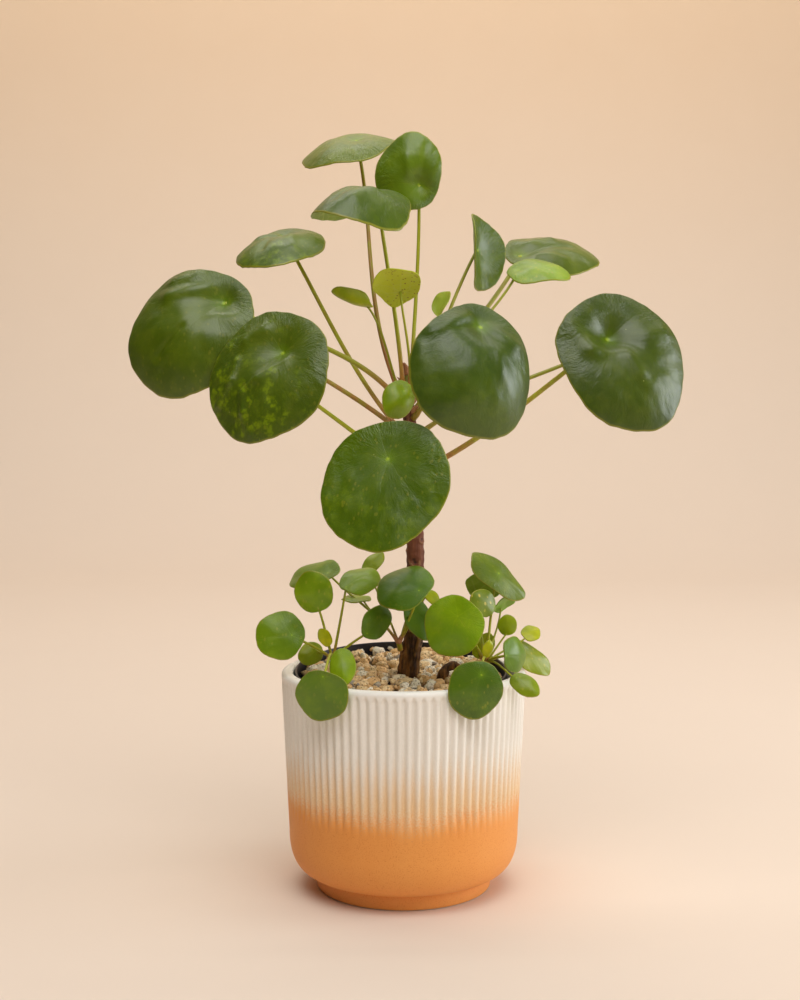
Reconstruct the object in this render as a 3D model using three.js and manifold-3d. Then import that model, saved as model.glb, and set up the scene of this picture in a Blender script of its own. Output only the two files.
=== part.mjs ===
// A young pilea standing in a fluted two-tone ceramic cover pot: one woody trunk
// with a crown of round leaves on long stalks, and three small plantlets at its
// foot. Millimetres, +Z up. The origin is on the pot's axis, on the underside of
// its foot, and -Y is the side that the plant shows to the viewer.
import * as THREE from 'three';
import { mergeVertices } from 'three/addons/utils/BufferGeometryUtils.js';
import Module from 'manifold-3d';

const wasm = await Module();
wasm.setup();

// ---------------------------------------------------------------- driving sizes

const GAP = 0.3;                   // running gap between pieces that touch

const POT = {
  height: 134.2,
  lipRadius: 75,                   // outermost, at the lip
  lipInner: 67.7,
  lipRound: 2.6,                   // radius of the lip's rounded edges
  lipStand: 0.15,                  // how far the lip stands out of the wall
  waistRadius: 70.6,               // where the straight wall meets the belly
  waistHeight: 36,
  bellyReach: 16.8,                // how far the belly arc stands out from the foot
  bellyDepth: 26,                  // height of the belly arc
  bellyFullness: 2 / 2.4,          // 1 is a quarter of an ellipse, less is squarer
  bellySteps: [74, 50, 26, 0],     // degrees round the arc, from the foot up
  footRadius: 53.8,
  footHeight: 10,
  floor: 9.2,                      // top of the floor inside
  // inside wall, radius and height, from the waist down to the floor's edge
  hollow: [[65.6, 36], [63.1, 19.7], [55, 12.2], [48, 9.2]],
  flutes: 84,
  fluteDepth: 1.2,
  fluteRunout: 0.2,                // their depth where they end under the lip
  fluteTop: 131,
  fluteFull: 128.6,
  fluteFade: 62,                   // below this they grow shallower
  fluteEnd: 46,
};

const LINER = {                    // the nursery pot, leaning back in the cover pot
  rimRadius: 65.4,
  bottomRadius: 48.3,
  wall: 1.3,
  tilt: THREE.MathUtils.degToRad(5.3),
  shift: [-1.5, 1.6],              // its rim's centre, x and y
  rimHeight: 134,
  // the thickened rim, how far in from rimRadius and how high, from under it over it
  rim: [[0.8, -5], [0, -4], [0, -0.4], [0.65, 0], [1.3, -0.6]],
  segments: 40,
};

const SOIL = { top: -11, clearance: 0.6, segments: 36 };
const GRAVEL = {
  depth: 3.6,                      // of the bed that the pebbles sit in
  ceiling: -1,                     // nothing stands higher, from the nursery pot's rim
  pebbles: 64,
  size: [5.9, 8.5],                // half a pebble's length
  slim: [0.78, 0.98],              // its width as a share of that
  flat: 0.68,                      // its height as a share of that
  lift: [-0.6, 0.6],               // its centre from the bed's top
  jitter: 0.25,                    // radians off the spiral
};

const TRUNK = {
  sides: 11,
  steps: 22,
  // centre x, y, z and radius, from the foot in the soil to the growing tip
  stations: [
    [2.8, 0, 104, 5.6],
    [2.8, 0, 124, 6.7],
    [3.6, 0, 137, 6.2],
    [5.4, 0, 150, 6.5],
    [7.0, 0, 172, 5.9],
    [7.2, 0, 205, 5.7],
    [6.0, 0, 245, 5.3],
    [4.2, 0, 280, 4.6],
    [2.6, 0, 302, 3.5],
    [1.8, 0, 315, 1.2],
  ],
  knots: 0.05,                     // share of the radius that knots stand out
  knotRise: 0.83,                  // radians of their wave per mm up
  knotTwist: 0.31,                 // radians that they turn per mm up
  tip: 1.5,                        // height of the growing tip's cone
};

// Plain upright holes in the soil and the gravel.
const HOLE = { trunk: 7.8, plantlet: 2.6, sides: 10, top: 150, spare: 1 };

const BLADE = { thickness: 1.0, rings: 3, segments: 18, wave: 0.02, ripple: 0.012 };
const LEAF_FORM = {
  waves: 5,                        // round the outline, seen from above
  ripples: 4,                      // round the edge, up and down
  dimpleReach: 0.16,               // radius of the dimple, share of the width
  narrowing: 0.06,                 // how much slimmer the tip end usually is
  crowding: 0.85,                  // below 1, the rings lie closer towards the edge
};
const STALK = {
  sides: 5,
  steps: 7,
  taper: 0.72,                     // its radius at the blade, share of that at the root
  bite: 0.55,                      // how deep it ends in the blade
  lean: 0.3,
  leave: 0.35,                     // length of the curve's handles, share of the reach
  arrive: 0.3,
  neck: [0.9, 1.6],                // last ring: its share of the radius, and mm back
};

// Every leaf: where its stalk meets the blade (navel, mm), which way the upper side
// faces (azimuth from the viewer towards +X, elevation), turn of the tip from
// straight downhill, length, width, share of the length behind the navel (and, where
// it isn't half, of the width beside it), how much slimmer the tip end is where that
// isn't the usual share, and the relief in mm: cap (dome), dimple round the navel,
// fold (across) and curl (along).
// root is the stalk's height on the trunk and its azimuth there, rise the angle at
// which it leaves, stalk its radius at the root, and lean the share of its arrival
// that is square to the blade, the rest being straight on.
const CROWN = [
  {
    name: 'leaf_far_left', navel: [-108, -15, 358], face: [-18, 18], turn: -38,
    length: 84, width: 78, behind: 0.18, beside: 0.52,
    cap: 14, dimple: 9, fold: 0, curl: 0,
    root: [298, -88], rise: 54, stalk: 1.7,
  },
  {
    name: 'leaf_left', navel: [-70, -58, 327], face: [-28, 18], turn: -34,
    length: 80, width: 78, behind: 0.3, beside: 0.476,
    cap: 9, dimple: 6, fold: 0, curl: 0,
    root: [279, -55], rise: 36, stalk: 1.6,
  },
  {
    name: 'leaf_centre_right', navel: [45, -62, 342], face: [24, 17], turn: -23,
    length: 82, width: 74, behind: 0.2, beside: 0.46, narrow: -0.16,
    cap: 16, dimple: 5, fold: 0, curl: 0,
    root: [289, 36], rise: 42, stalk: 1.6,
  },
  {
    name: 'leaf_right', navel: [122, -30, 337], face: [21, 20], turn: 15,
    length: 88, width: 81, behind: 0.31, beside: 0.483,
    cap: 11, dimple: 9, fold: 0, curl: 0,
    root: [257, 76], rise: 26, stalk: 1.8,
  },
  {
    name: 'leaf_front_low', navel: [-9, -80, 267], face: [-23, 24], turn: 2,
    length: 78, width: 77, behind: 0.3,
    cap: 2, dimple: 2, fold: 0, curl: 0,
    root: [279, -8], rise: 12, stalk: 1.5,
  },
  {
    name: 'leaf_top_left', navel: [-30, 56, 464], face: [-38, 68], turn: -95,
    length: 66, width: 62, behind: 0.36,
    cap: 12, dimple: 4, fold: 0, curl: 0,
    root: [302, -125], rise: 60, stalk: 1.5, lean: 0.9,
  },
  {
    name: 'leaf_top', navel: [9, 14, 431], face: [-8, 4], turn: 164,
    length: 49, width: 41, behind: 0.38, beside: 0.3, narrow: 0.08,
    cap: 7, dimple: 5, fold: 3, curl: 0,
    root: [306, 158], rise: 80, stalk: 1.3, lean: 0.35,
  },
  {
    name: 'leaf_upper_centre', navel: [-16, -14, 424], face: [-14, 72], turn: -30,
    length: 64, width: 54, behind: 0.27,
    cap: 13, dimple: 4, fold: 11, curl: -3,
    root: [307, -40], rise: 84, stalk: 1.4,
  },
  {
    name: 'leaf_left_upper', navel: [-75, 30, 402], face: [-22, 61], turn: 6,
    length: 60, width: 56, behind: 0.32,
    cap: 9, dimple: 5, fold: 3, curl: 0,
    root: [280, -112], rise: 46, stalk: 1.5, lean: 0,
  },
  {
    name: 'leaf_right_upright', navel: [46, 25, 392], face: [62, 5], turn: -6,
    length: 48, width: 44, behind: 0.46,
    cap: 0, dimple: 2, fold: -8, curl: 2,
    root: [304, 112], rise: 62, stalk: 1.3, lean: 0.1,
  },
  {
    name: 'leaf_right_back', navel: [76, 62, 393], face: [22, 57], turn: 92,
    length: 66, width: 50, behind: 0.15,
    cap: 7, dimple: 3, fold: 0, curl: 0,
    root: [292, 138], rise: 52, stalk: 1.8,
  },
  {
    name: 'leaf_right_pale', navel: [72, 30, 380], face: [5, 55], turn: 80,
    length: 40, width: 27, behind: 0.18, narrow: 0.3,
    cap: 3, dimple: 2, fold: 0, curl: 3,
    root: [295, 100], rise: 62, stalk: 1.1,
  },
  {
    name: 'leaf_young_centre', navel: [-2, -18, 364], face: [182, 53], turn: 179,
    length: 34, width: 28, behind: 0.36, beside: 0.58, narrow: -0.24,
    cap: 3, dimple: 2, fold: 0, curl: 0,
    root: [308, 20], rise: 76, stalk: 0.9,
  },
  {
    name: 'leaf_young_left', navel: [-22, -12, 355], face: [-40, -38], turn: -116,
    length: 29, width: 11, behind: 0.12, beside: 0.62,
    cap: 3, dimple: 0, fold: 3, curl: 0,
    root: [302, -68], rise: 66, stalk: 0.9,
  },
  {
    name: 'leaf_bud_front', navel: [0, -22, 305], face: [20, 12], turn: -31,
    length: 25, width: 20, behind: 0.27,
    cap: 5, dimple: 2, fold: 0, curl: 0,
    root: [301, -16], rise: 24, stalk: 0.9,
  },
  {
    name: 'leaf_bud_back', navel: [21, 15, 353], face: [-40, 20], turn: 160,
    length: 17, width: 12, behind: 0.12,
    cap: 0, dimple: 0, fold: -3, curl: 0,
    root: [309, 75], rise: 72, stalk: 0.8,
  },
  {
    name: 'leaf_hidden_left', navel: [-73, -27, 313], face: [-30, 25], turn: -30,
    length: 46, width: 43, behind: 0.33,
    cap: 5, dimple: 3, fold: 0, curl: 0,
    root: [257, -74], rise: 38, stalk: 1.5,
  },
  {
    name: 'leaf_hidden_right', navel: [124, 16, 333], face: [25, 25], turn: 15,
    length: 48, width: 45, behind: 0.33,
    cap: 5, dimple: 3, fold: 0, curl: 0,
    root: [279, 92], rise: 38, stalk: 1.5,
  },
];

// A plantlet is a short stub with its leaves; foot is where the stub enters the
// gravel, or leaves the trunk, and crown where its stalks part.
const PLANTLETS = [
  {
    name: 'plantlet_left', foot: [-43, -12, 112], crown: [-43, -12, 143], stub: 2.0,
    leaves: [
      { navel: [-67, -24, 159], face: [-4, 22], turn: -91, length: 30, width: 30, behind: 0.25, cap: 2 },
      { navel: [-52, -8, 173], face: [-8, 3], turn: -162, length: 26, width: 24, behind: 0.10, cap: 2 },
      { navel: [-54, 0, 146], face: [16, 24], turn: -58, length: 17, width: 14, behind: 0.28, cap: 2 },
      { navel: [-45, -14, 152], face: [31, 21], turn: -157, length: 12, width: 9, behind: 0.10, cap: 1 },
      { navel: [-37, -40, 151], face: [-11, 33], turn: 12, length: 24, width: 16, behind: 0.16, cap: 3 },
      { navel: [-46, -72, 143], face: [-8, -6], turn: -4, length: 30, width: 31, behind: 0.11, cap: 1 },
      { navel: [-35, -8, 186], face: [9, 55], turn: 124, length: 28, width: 22, behind: 0.08, cap: 3 },
      { navel: [-22, -18, 159], face: [31, 7], turn: 131, length: 24, width: 18, behind: 0.10, cap: 1 },
    ],
  },
  {
    name: 'plantlet_centre', foot: [-2, -6, 147], crown: [-3, -9, 152], stub: 1.8,
    leaves: [
      { navel: [-48, 30, 190], face: [-53, 52], turn: -78, length: 42, width: 28, behind: 0.17, cap: 2 },
      { navel: [-26, 18, 176], face: [-14, 79], turn: -88, length: 19, width: 14, behind: 0.30, cap: 1 },
      { navel: [-23, 21, 194], face: [-20, 40], turn: 150, length: 18, width: 12, behind: 0.18, cap: 1 },
      { navel: [9, -32, 187], face: [-15, 52], turn: -115, length: 33, width: 38, behind: 0.15, cap: 5 },
      { navel: [5, -16, 175], face: [26, 9], turn: 30, length: 28, width: 18, behind: 0.16, cap: 1 },
      { navel: [15, -8, 182], face: [38, 22], turn: 52, length: 12, width: 9, behind: 0.16, cap: 1 },
    ],
  },
  {
    name: 'plantlet_right', foot: [50, -10, 112], crown: [50, -10, 140], stub: 2.2,
    leaves: [
      { navel: [32, -34, 172], face: [-12, 5], turn: -24, length: 37, width: 36, behind: 0.31, cap: 2 },
      { navel: [58, -6, 194], face: [37, 29], turn: 44, length: 43, width: 22, behind: 0.47, cap: 3 },
      { navel: [45, 16, 180], face: [171, 37], turn: -136, length: 25, width: 23, behind: 0.14, cap: 1 },
      { navel: [55, -13, 175], face: [33, 15], turn: -108, length: 19, width: 17, behind: 0.05, cap: 1 },
      { navel: [60, 8, 171], face: [-140, 50], turn: 170, length: 20, width: 15, behind: 0.19, cap: 1 },
      { navel: [63, -6, 157], face: [-1, 0], turn: 175, length: 13, width: 12, behind: 0.10, cap: 1 },
      { navel: [75, -2, 154], face: [12, 48], turn: 130, length: 13, width: 12, behind: 0.06, cap: 1 },
      { navel: [61, -32, 148], face: [52, 9], turn: 86, length: 23, width: 22, behind: 0.05, cap: 3 },
      { navel: [73, -2, 145], face: [38, 27], turn: 52, length: 33, width: 18, behind: 0.27, cap: 1 },
      { navel: [66, -44, 137], face: [-2, 37], turn: 52, length: 20, width: 13, behind: 0.17, cap: 2 },
      { navel: [44, -72, 144], face: [8, 1], turn: -20, length: 34, width: 32, behind: 0.22, cap: 3 },
      { navel: [50, -17, 145], face: [21, 0], turn: 164, length: 11, width: 7, behind: 0.10, cap: 1 },
      { navel: [47, 10, 142], face: [-11, 16], turn: 151, length: 18, width: 13, behind: 0.20, cap: 1 },
    ],
  },
];
const SMALL_BLADE = { thickness: 0.8, rings: 2, segments: 12, wave: 0.02, ripple: 0.02 };
const TINY_BLADE = { thickness: 0.8, rings: 1, segments: 9, wave: 0.02, ripple: 0.02 };
const YOUNG_BLADE = { ...SMALL_BLADE, thickness: 0.9 };
const YOUNG = 36;                  // crown leaves shorter than this are young ones
const TINY = 15;                   // plantlet leaves shorter than this get the tiny blade
const SMALL_STALK = {
  ...STALK,
  sides: 4,
  steps: 4,
  taper: 0.7,
  bite: 0.45,
  radius: 0.95,
  sunk: 1.4,                       // how deep it starts in the stub
  spread: 0.55,                    // how far sideways it sets out, and how far up
  rise: 0.5,
};
const STUB = { ...SMALL_STALK, steps: 3, taper: 0.8 };

// ------------------------------------------------------------------- materials

const finish = (color, roughness) => new THREE.MeshStandardMaterial({ color, roughness, metalness: 0 });
const MATERIALS = {
  pot: finish(0xe3d3bf, 0.4),
  liner: finish(0x232229, 0.5),
  soil: finish(0x2c211a, 0.95),
  gravel: finish(0xbfa273, 0.9),
  trunk: finish(0x553328, 0.8),
  leaf: finish(0x44680f, 0.38),
  youngLeaf: finish(0x7fa02a, 0.4),
};

// --------------------------------------------------------------------- helpers

// Repeatable random numbers from 0 to 1.
function makeRandom(seed) {
  let state = seed;
  return () => {
    state = (state * 1664525 + 1013904223) % 4294967296;
    return state / 4294967296;
  };
}

// The two triangles, or three where one ring has twice the points, of each step
// between neighbouring rings. Crossed, the two are split by the other diagonal.
function bandFaces(faces, a, aCount, b, bCount, crossed) {
  if (bCount === 2 * aCount) {
    for (let i = 0; i < aCount; i += 1) {
      const next = (i + 1) % aCount;
      const fine = [2 * i, 2 * i + 1, (2 * i + 2) % bCount].map((k) => b + k);
      faces.push(a + i, fine[1], fine[0], a + i, a + next, fine[1], a + next, fine[2], fine[1]);
    }
  } else if (aCount === 2 * bCount) {
    for (let i = 0; i < bCount; i += 1) {
      const next = (i + 1) % bCount;
      const fine = [2 * i, 2 * i + 1, (2 * i + 2) % aCount].map((k) => a + k);
      faces.push(b + i, fine[0], fine[1], b + i, fine[1], b + next, b + next, fine[1], fine[2]);
    }
  } else {
    for (let i = 0; i < aCount; i += 1) {
      const next = (i + 1) % aCount;
      if (crossed) faces.push(a + i, a + next, b + next, a + i, b + next, b + i);
      else faces.push(a + i, a + next, b + i, a + next, b + next, b + i);
    }
  }
}

// A closed skin over a row of rings, each turning anticlockwise seen from the last
// one, with a single point at either end to close it. From the ring crossedFrom on,
// the bands are split by the other diagonal.
function skin(rings, crossedFrom = rings.length) {
  const points = [];
  const faces = [];
  const starts = rings.map((ring) => {
    const start = points.length / 3;
    ring.forEach((p) => points.push(p.x, p.y, p.z));
    return start;
  });
  const fan = (centre, start, count, forward) => {
    for (let i = 0; i < count; i += 1) {
      const next = (i + 1) % count;
      faces.push(centre, start + (forward ? i : next), start + (forward ? next : i));
    }
  };
  for (let k = 0; k + 1 < rings.length; k += 1) {
    const [a, b] = [rings[k], rings[k + 1]];
    if (a.length === 1) fan(starts[k], starts[k + 1], b.length, false);
    else if (b.length === 1) fan(starts[k + 1], starts[k], a.length, true);
    else bandFaces(faces, starts[k], a.length, starts[k + 1], b.length, k >= crossedFrom);
  }
  const geometry = new THREE.BufferGeometry();
  geometry.setAttribute('position', new THREE.Float32BufferAttribute(points, 3));
  geometry.setIndex(faces);
  return geometry;
}

function circle(radius, z, count, wobble = () => 0) {
  return Array.from({ length: count }, (_, i) => {
    const angle = (i / count) * 2 * Math.PI;
    const r = radius + wobble(i, angle);
    return new THREE.Vector3(r * Math.cos(angle), r * Math.sin(angle), z);
  });
}

const point = (x, y, z) => [new THREE.Vector3(x, y, z)];
const shifted = (ring, x, y) => ring.map((p) => p.clone().add(new THREE.Vector3(x, y, 0)));

function toSolid(geometry) {
  const bare = geometry.clone();
  bare.deleteAttribute('normal');
  bare.deleteAttribute('uv');
  const merged = mergeVertices(bare, 1e-4);
  return new wasm.Manifold(new wasm.Mesh({
    numProp: 3,
    vertProperties: new Float32Array(merged.attributes.position.array),
    triVerts: new Uint32Array(merged.index.array),
  }));
}

function toGeometry(solid) {
  const mesh = solid.getMesh();
  const geometry = new THREE.BufferGeometry();
  geometry.setAttribute('position', new THREE.BufferAttribute(mesh.vertProperties, 3));
  geometry.setIndex(new THREE.BufferAttribute(mesh.triVerts, 1));
  return geometry;
}

const fuse = (geometries) => toGeometry(geometries.map(toSolid).reduce((all, one) => all.add(one)));

function piece(name, geometry, material) {
  const mesh = new THREE.Mesh(geometry, material);
  mesh.name = name;
  return mesh;
}

// Radius and centre at a height, straight between the stations.
function trunkAt(z) {
  const s = TRUNK.stations;
  const k = Math.max(1, s.findIndex((station) => station[2] >= z));
  const [a, b] = [s[k - 1], s[k]];
  const t = (z - a[2]) / (b[2] - a[2]);
  const mix = (i) => a[i] + (b[i] - a[i]) * t;
  return { x: mix(0), y: mix(1), radius: mix(3) };
}

// The direction at an azimuth, from the viewer towards +X, and an elevation.
function heading(azimuth, elevation) {
  const [a, e] = [azimuth, elevation].map(THREE.MathUtils.degToRad);
  return new THREE.Vector3(Math.cos(e) * Math.sin(a), -Math.cos(e) * Math.cos(a), Math.sin(e));
}

// ------------------------------------------------------------------- the pot

function makePot() {
  const [coarse, middle, fine] = [POT.flutes / 2, POT.flutes, POT.flutes * 2];
  const wallRadius = (z) => {
    const t = (z - POT.waistHeight) / (POT.height - POT.lipRound - POT.waistHeight);
    return POT.waistRadius + (POT.lipRadius - POT.lipStand - POT.waistRadius) * t;
  };
  const belly = (degrees) => {
    const angle = THREE.MathUtils.degToRad(degrees);
    const [out, down] = [Math.cos(angle), Math.sin(angle)].map((share) => share ** POT.bellyFullness);
    const z = POT.footHeight + POT.bellyDepth * (1 - down);
    return circle(POT.footRadius + POT.bellyReach * out, z, middle);
  };
  const fluted = (z, depth) => circle(wallRadius(z), z, fine, (i) => (i % 2 ? -depth : 0));
  // A ring on a rounded edge of the lip, from the wall (0 degrees) to the crest (90).
  const lip = (edge, inward, degrees, count) => {
    const angle = THREE.MathUtils.degToRad(degrees);
    const radius = edge - inward * POT.lipRound * (1 - Math.cos(angle));
    return circle(radius, POT.height - POT.lipRound * (1 - Math.sin(angle)), count);
  };
  const outside = [
    point(0, 0, 0),
    circle(POT.footRadius, 0, coarse),
    circle(POT.footRadius, POT.footHeight, coarse),
    ...POT.bellySteps.map(belly),
    fluted(POT.fluteEnd, 0),
    fluted(POT.fluteFade, POT.fluteDepth),
    fluted(POT.fluteFull, POT.fluteDepth),
    fluted(POT.fluteTop, POT.fluteRunout),
    ...[0, 45, 90].map((degrees) => lip(POT.lipRadius, 1, degrees, middle)),
  ];
  const inside = [
    lip(POT.lipInner, -1, 60, middle),
    lip(POT.lipInner, -1, 0, coarse),
    ...POT.hollow.map(([radius, z]) => circle(radius, z, coarse)),
    point(0, 0, POT.floor),
  ];
  return piece('pot', skin([...outside, ...inside]), MATERIALS.pot);
}

// ------------------------------------------------- nursery pot, soil and gravel

// Everything in the nursery pot is built on the pot's own leaning axis, z = 0 at
// its rim. The height lets its lowest edge stand on the cover pot's floor.
const leaning = new THREE.Group();
leaning.position.set(...LINER.shift, LINER.rimHeight);
leaning.rotation.x = LINER.tilt;
leaning.updateMatrixWorld();
const drop = LINER.rimHeight - POT.floor - GAP - LINER.bottomRadius * Math.sin(LINER.tilt);
const linerHeight = drop / Math.cos(LINER.tilt);
const linerInner = (z) => {
  const taper = (LINER.rimRadius - LINER.bottomRadius) / linerHeight;
  return LINER.rimRadius - LINER.wall + z * taper;
};

function makeLiner() {
  const n = LINER.segments;
  const bottom = -linerHeight;
  const inside = bottom + LINER.wall;
  const rings = [
    point(0, 0, bottom),
    circle(LINER.bottomRadius, bottom, n),
    ...LINER.rim.map(([inset, z]) => circle(LINER.rimRadius - inset, z, n)),
    circle(linerInner(inside), inside, n),
    point(0, 0, inside),
  ];
  return piece('nursery_pot', skin(rings), MATERIALS.liner);
}

// A plug that fills the nursery pot between two heights.
function plug(low, high, count) {
  return skin([
    point(0, 0, low),
    circle(linerInner(low) - SOIL.clearance, low, count),
    circle(linerInner(high) - SOIL.clearance, high, count),
    point(0, 0, high),
  ]);
}

// The holes for the trunk and the plantlets, seen from the leaning axis.
function stemHoles() {
  const back = leaning.matrixWorld.clone().invert();
  const standing = PLANTLETS.filter((plant) => plant.foot[2] < LINER.rimHeight);
  const stems = [
    { foot: TRUNK.stations[0], radius: HOLE.trunk },
    ...standing.map((plant) => ({ foot: plant.foot, radius: HOLE.plantlet })),
  ];
  return stems.map(({ foot: [x, y, z], radius }) => {
    const low = z - HOLE.spare;
    const hole = skin([
      point(x, y, low),
      shifted(circle(radius, low, HOLE.sides), x, y),
      shifted(circle(radius, HOLE.top, HOLE.sides), x, y),
      point(x, y, HOLE.top),
    ]);
    return toSolid(hole.applyMatrix4(back));
  });
}

const cutHoles = (solid) => stemHoles().reduce((left, hole) => left.subtract(hole), solid);

function makeSoil() {
  const bottom = -linerHeight + LINER.wall + GAP;
  const solid = cutHoles(toSolid(plug(bottom, SOIL.top, SOIL.segments)));
  return piece('soil', toGeometry(solid), MATERIALS.soil);
}

// A bed over the soil, with pebbles sunk into it on a sunflower spiral.
function makeGravel() {
  const random = makeRandom(7);
  const between = ([least, most]) => least + (most - least) * random();
  const golden = Math.PI * (3 - Math.sqrt(5));
  const fullTurn = 2 * Math.PI;
  const low = SOIL.top + GAP;
  const high = low + GRAVEL.depth;
  const reach = linerInner(low) - SOIL.clearance;
  let solid = toSolid(plug(low, high, SOIL.segments));
  for (let i = 0; i < GRAVEL.pebbles; i += 1) {
    const size = between(GRAVEL.size);
    const angle = i * golden + GRAVEL.jitter * random();
    const radius = Math.min(reach - size, reach * Math.sqrt((i + 0.6) / GRAVEL.pebbles));
    const stone = new THREE.IcosahedronGeometry(1, 0);
    stone.rotateX(fullTurn * random());
    stone.rotateZ(fullTurn * random());
    stone.scale(size, size * between(GRAVEL.slim), size * GRAVEL.flat);
    stone.rotateZ(fullTurn * random());
    stone.translate(radius * Math.cos(angle), radius * Math.sin(angle), high + between(GRAVEL.lift));
    solid = solid.add(toSolid(stone));
  }
  const room = toSolid(plug(low, GRAVEL.ceiling, SOIL.segments));
  return piece('gravel', toGeometry(cutHoles(solid.intersect(room))), MATERIALS.gravel);
}

// ------------------------------------------------------------------ the plant

function makeTrunk() {
  const s = TRUNK.stations;
  const [low, high] = [s[0][2], s[s.length - 1][2]];
  const rings = [point(s[0][0], 0, low)];
  for (let k = 0; k <= TRUNK.steps; k += 1) {
    const z = low + ((high - low) * k) / TRUNK.steps;
    const at = trunkAt(z);
    const height = at.radius * TRUNK.knots * Math.sin(z * TRUNK.knotRise);
    const knot = (i, angle) => height * Math.sin(2 * angle + z * TRUNK.knotTwist);
    rings.push(shifted(circle(at.radius, z, TRUNK.sides, knot), at.x, at.y));
  }
  rings.push(point(s[s.length - 1][0], 0, high + TRUNK.tip));
  return piece('trunk', skin(rings), MATERIALS.trunk);
}

// The leaf's own axes: along to the tip, across, and up out of the upper side.
function leafAxes(leaf) {
  const up = heading(...leaf.face);
  const downhill = new THREE.Vector3(0, 0, -1).addScaledVector(up, up.z).normalize();
  const side = new THREE.Vector3().crossVectors(up, downhill);
  const turn = THREE.MathUtils.degToRad(leaf.turn);
  const along = downhill.multiplyScalar(Math.cos(turn)).addScaledVector(side, Math.sin(turn));
  return { up, along, across: new THREE.Vector3().crossVectors(up, along) };
}

// A round blade with a waved edge: rings shrink from its outline to the navel, and
// the underside repeats the upper side, one thickness lower.
function makeBlade(leaf, shape) {
  const { up, along, across } = leafAxes(leaf);
  const [a, b] = [leaf.length / 2, leaf.width / 2];
  const ahead = leaf.length * (0.5 - leaf.behind);
  const aside = leaf.width * (0.5 - (leaf.beside ?? 0.5));
  const narrowing = leaf.narrow ?? LEAF_FORM.narrowing;
  const phase = leaf.navel[0] + leaf.navel[2];
  const { cap, dimple = 0, fold = 0, curl = 0 } = leaf;
  const relief = (u, v) => {
    const [p, q] = [(u - ahead) / a, (v - aside) / b];
    const angle = Math.atan2(q, p);
    const edge = p * p + q * q;
    const pit = dimple * Math.exp(-(u * u + v * v) / (LEAF_FORM.dimpleReach * leaf.width) ** 2);
    const ripple = leaf.length * shape.ripple * edge * Math.sin(LEAF_FORM.ripples * angle + phase);
    return cap * (1 - edge) - pit - fold * q * q - curl * p * p + ripple;
  };
  const zero = relief(0, 0);
  const place = (u, v, depth) => new THREE.Vector3(...leaf.navel)
    .addScaledVector(along, u)
    .addScaledVector(across, v)
    .addScaledVector(up, relief(u, v) - zero - depth);
  const ring = (share, depth) => Array.from({ length: shape.segments }, (_, i) => {
    const angle = (i / shape.segments) * 2 * Math.PI;
    const wave = 1 + shape.wave * Math.sin(LEAF_FORM.waves * angle + phase);
    const narrow = 1 - narrowing * Math.cos(angle);
    const u = share * (ahead + a * wave * Math.cos(angle));
    const v = share * (aside + b * wave * narrow * Math.sin(angle));
    return place(u, v, depth);
  });
  const shares = Array.from({ length: shape.rings }, (_, k) => ((k + 1) / shape.rings) ** LEAF_FORM.crowding);
  const under = shares.map((share) => ring(share, shape.thickness));
  const over = shares.map((share) => ring(share, 0)).reverse();
  const rings = [[place(0, 0, shape.thickness)], ...under, ...over, [place(0, 0, 0)]];
  return skin(rings, shape.rings + 1);
}

// A round stalk along a curve, thinning towards the blade and ending in a point
// inside it.
function makeStalk(curve, radius, shape) {
  const frames = curve.computeFrenetFrames(shape.steps, false);
  const [neckShare, neckLength] = shape.neck;
  const tip = curve.getPoint(1);
  const neck = tip.clone().addScaledVector(curve.getTangentAt(1), -neckLength);
  const ring = (centre, k, r) => Array.from({ length: shape.sides }, (_, i) => {
    const angle = (i / shape.sides) * 2 * Math.PI;
    return centre.clone()
      .addScaledVector(frames.normals[k], r * Math.cos(angle))
      .addScaledVector(frames.binormals[k], r * Math.sin(angle));
  });
  const rings = [[curve.getPoint(0)]];
  for (let k = 0; k < shape.steps; k += 1) {
    const t = k / shape.steps;
    rings.push(ring(curve.getPointAt(t), k, radius * (1 - (1 - shape.taper) * t)));
  }
  rings.push(ring(neck, shape.steps, radius * shape.taper * neckShare));
  rings.push([tip]);
  return skin(rings);
}

// How a stalk meets its blade: mostly straight on, leaning a little to the blade.
function arrival(start, end, up, lean = STALK.lean) {
  return end.clone().sub(start).normalize().lerp(up, lean).normalize();
}

function makeCrownLeaf(leaf) {
  const { up } = leafAxes(leaf);
  const [height, azimuth] = leaf.root;
  const at = trunkAt(height);
  const halfFoot = leaf.stalk * Math.sin(THREE.MathUtils.degToRad(leaf.rise));
  const start = new THREE.Vector3(at.x, at.y, height)
    .addScaledVector(heading(azimuth, 0), at.radius + GAP + halfFoot);
  const end = new THREE.Vector3(...leaf.navel).addScaledVector(up, -STALK.bite);
  const reach = start.distanceTo(end);
  const curve = new THREE.CubicBezierCurve3(
    start,
    start.clone().addScaledVector(heading(azimuth, leaf.rise), STALK.leave * reach),
    end.clone().addScaledVector(arrival(start, end, up, leaf.lean), -STALK.arrive * reach),
    end,
  );
  const young = leaf.length < YOUNG;
  const blade = makeBlade(leaf, young ? YOUNG_BLADE : BLADE);
  const stalk = makeStalk(curve, leaf.stalk, STALK);
  return piece(leaf.name, fuse([blade, stalk]), young ? MATERIALS.youngLeaf : MATERIALS.leaf);
}

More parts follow.
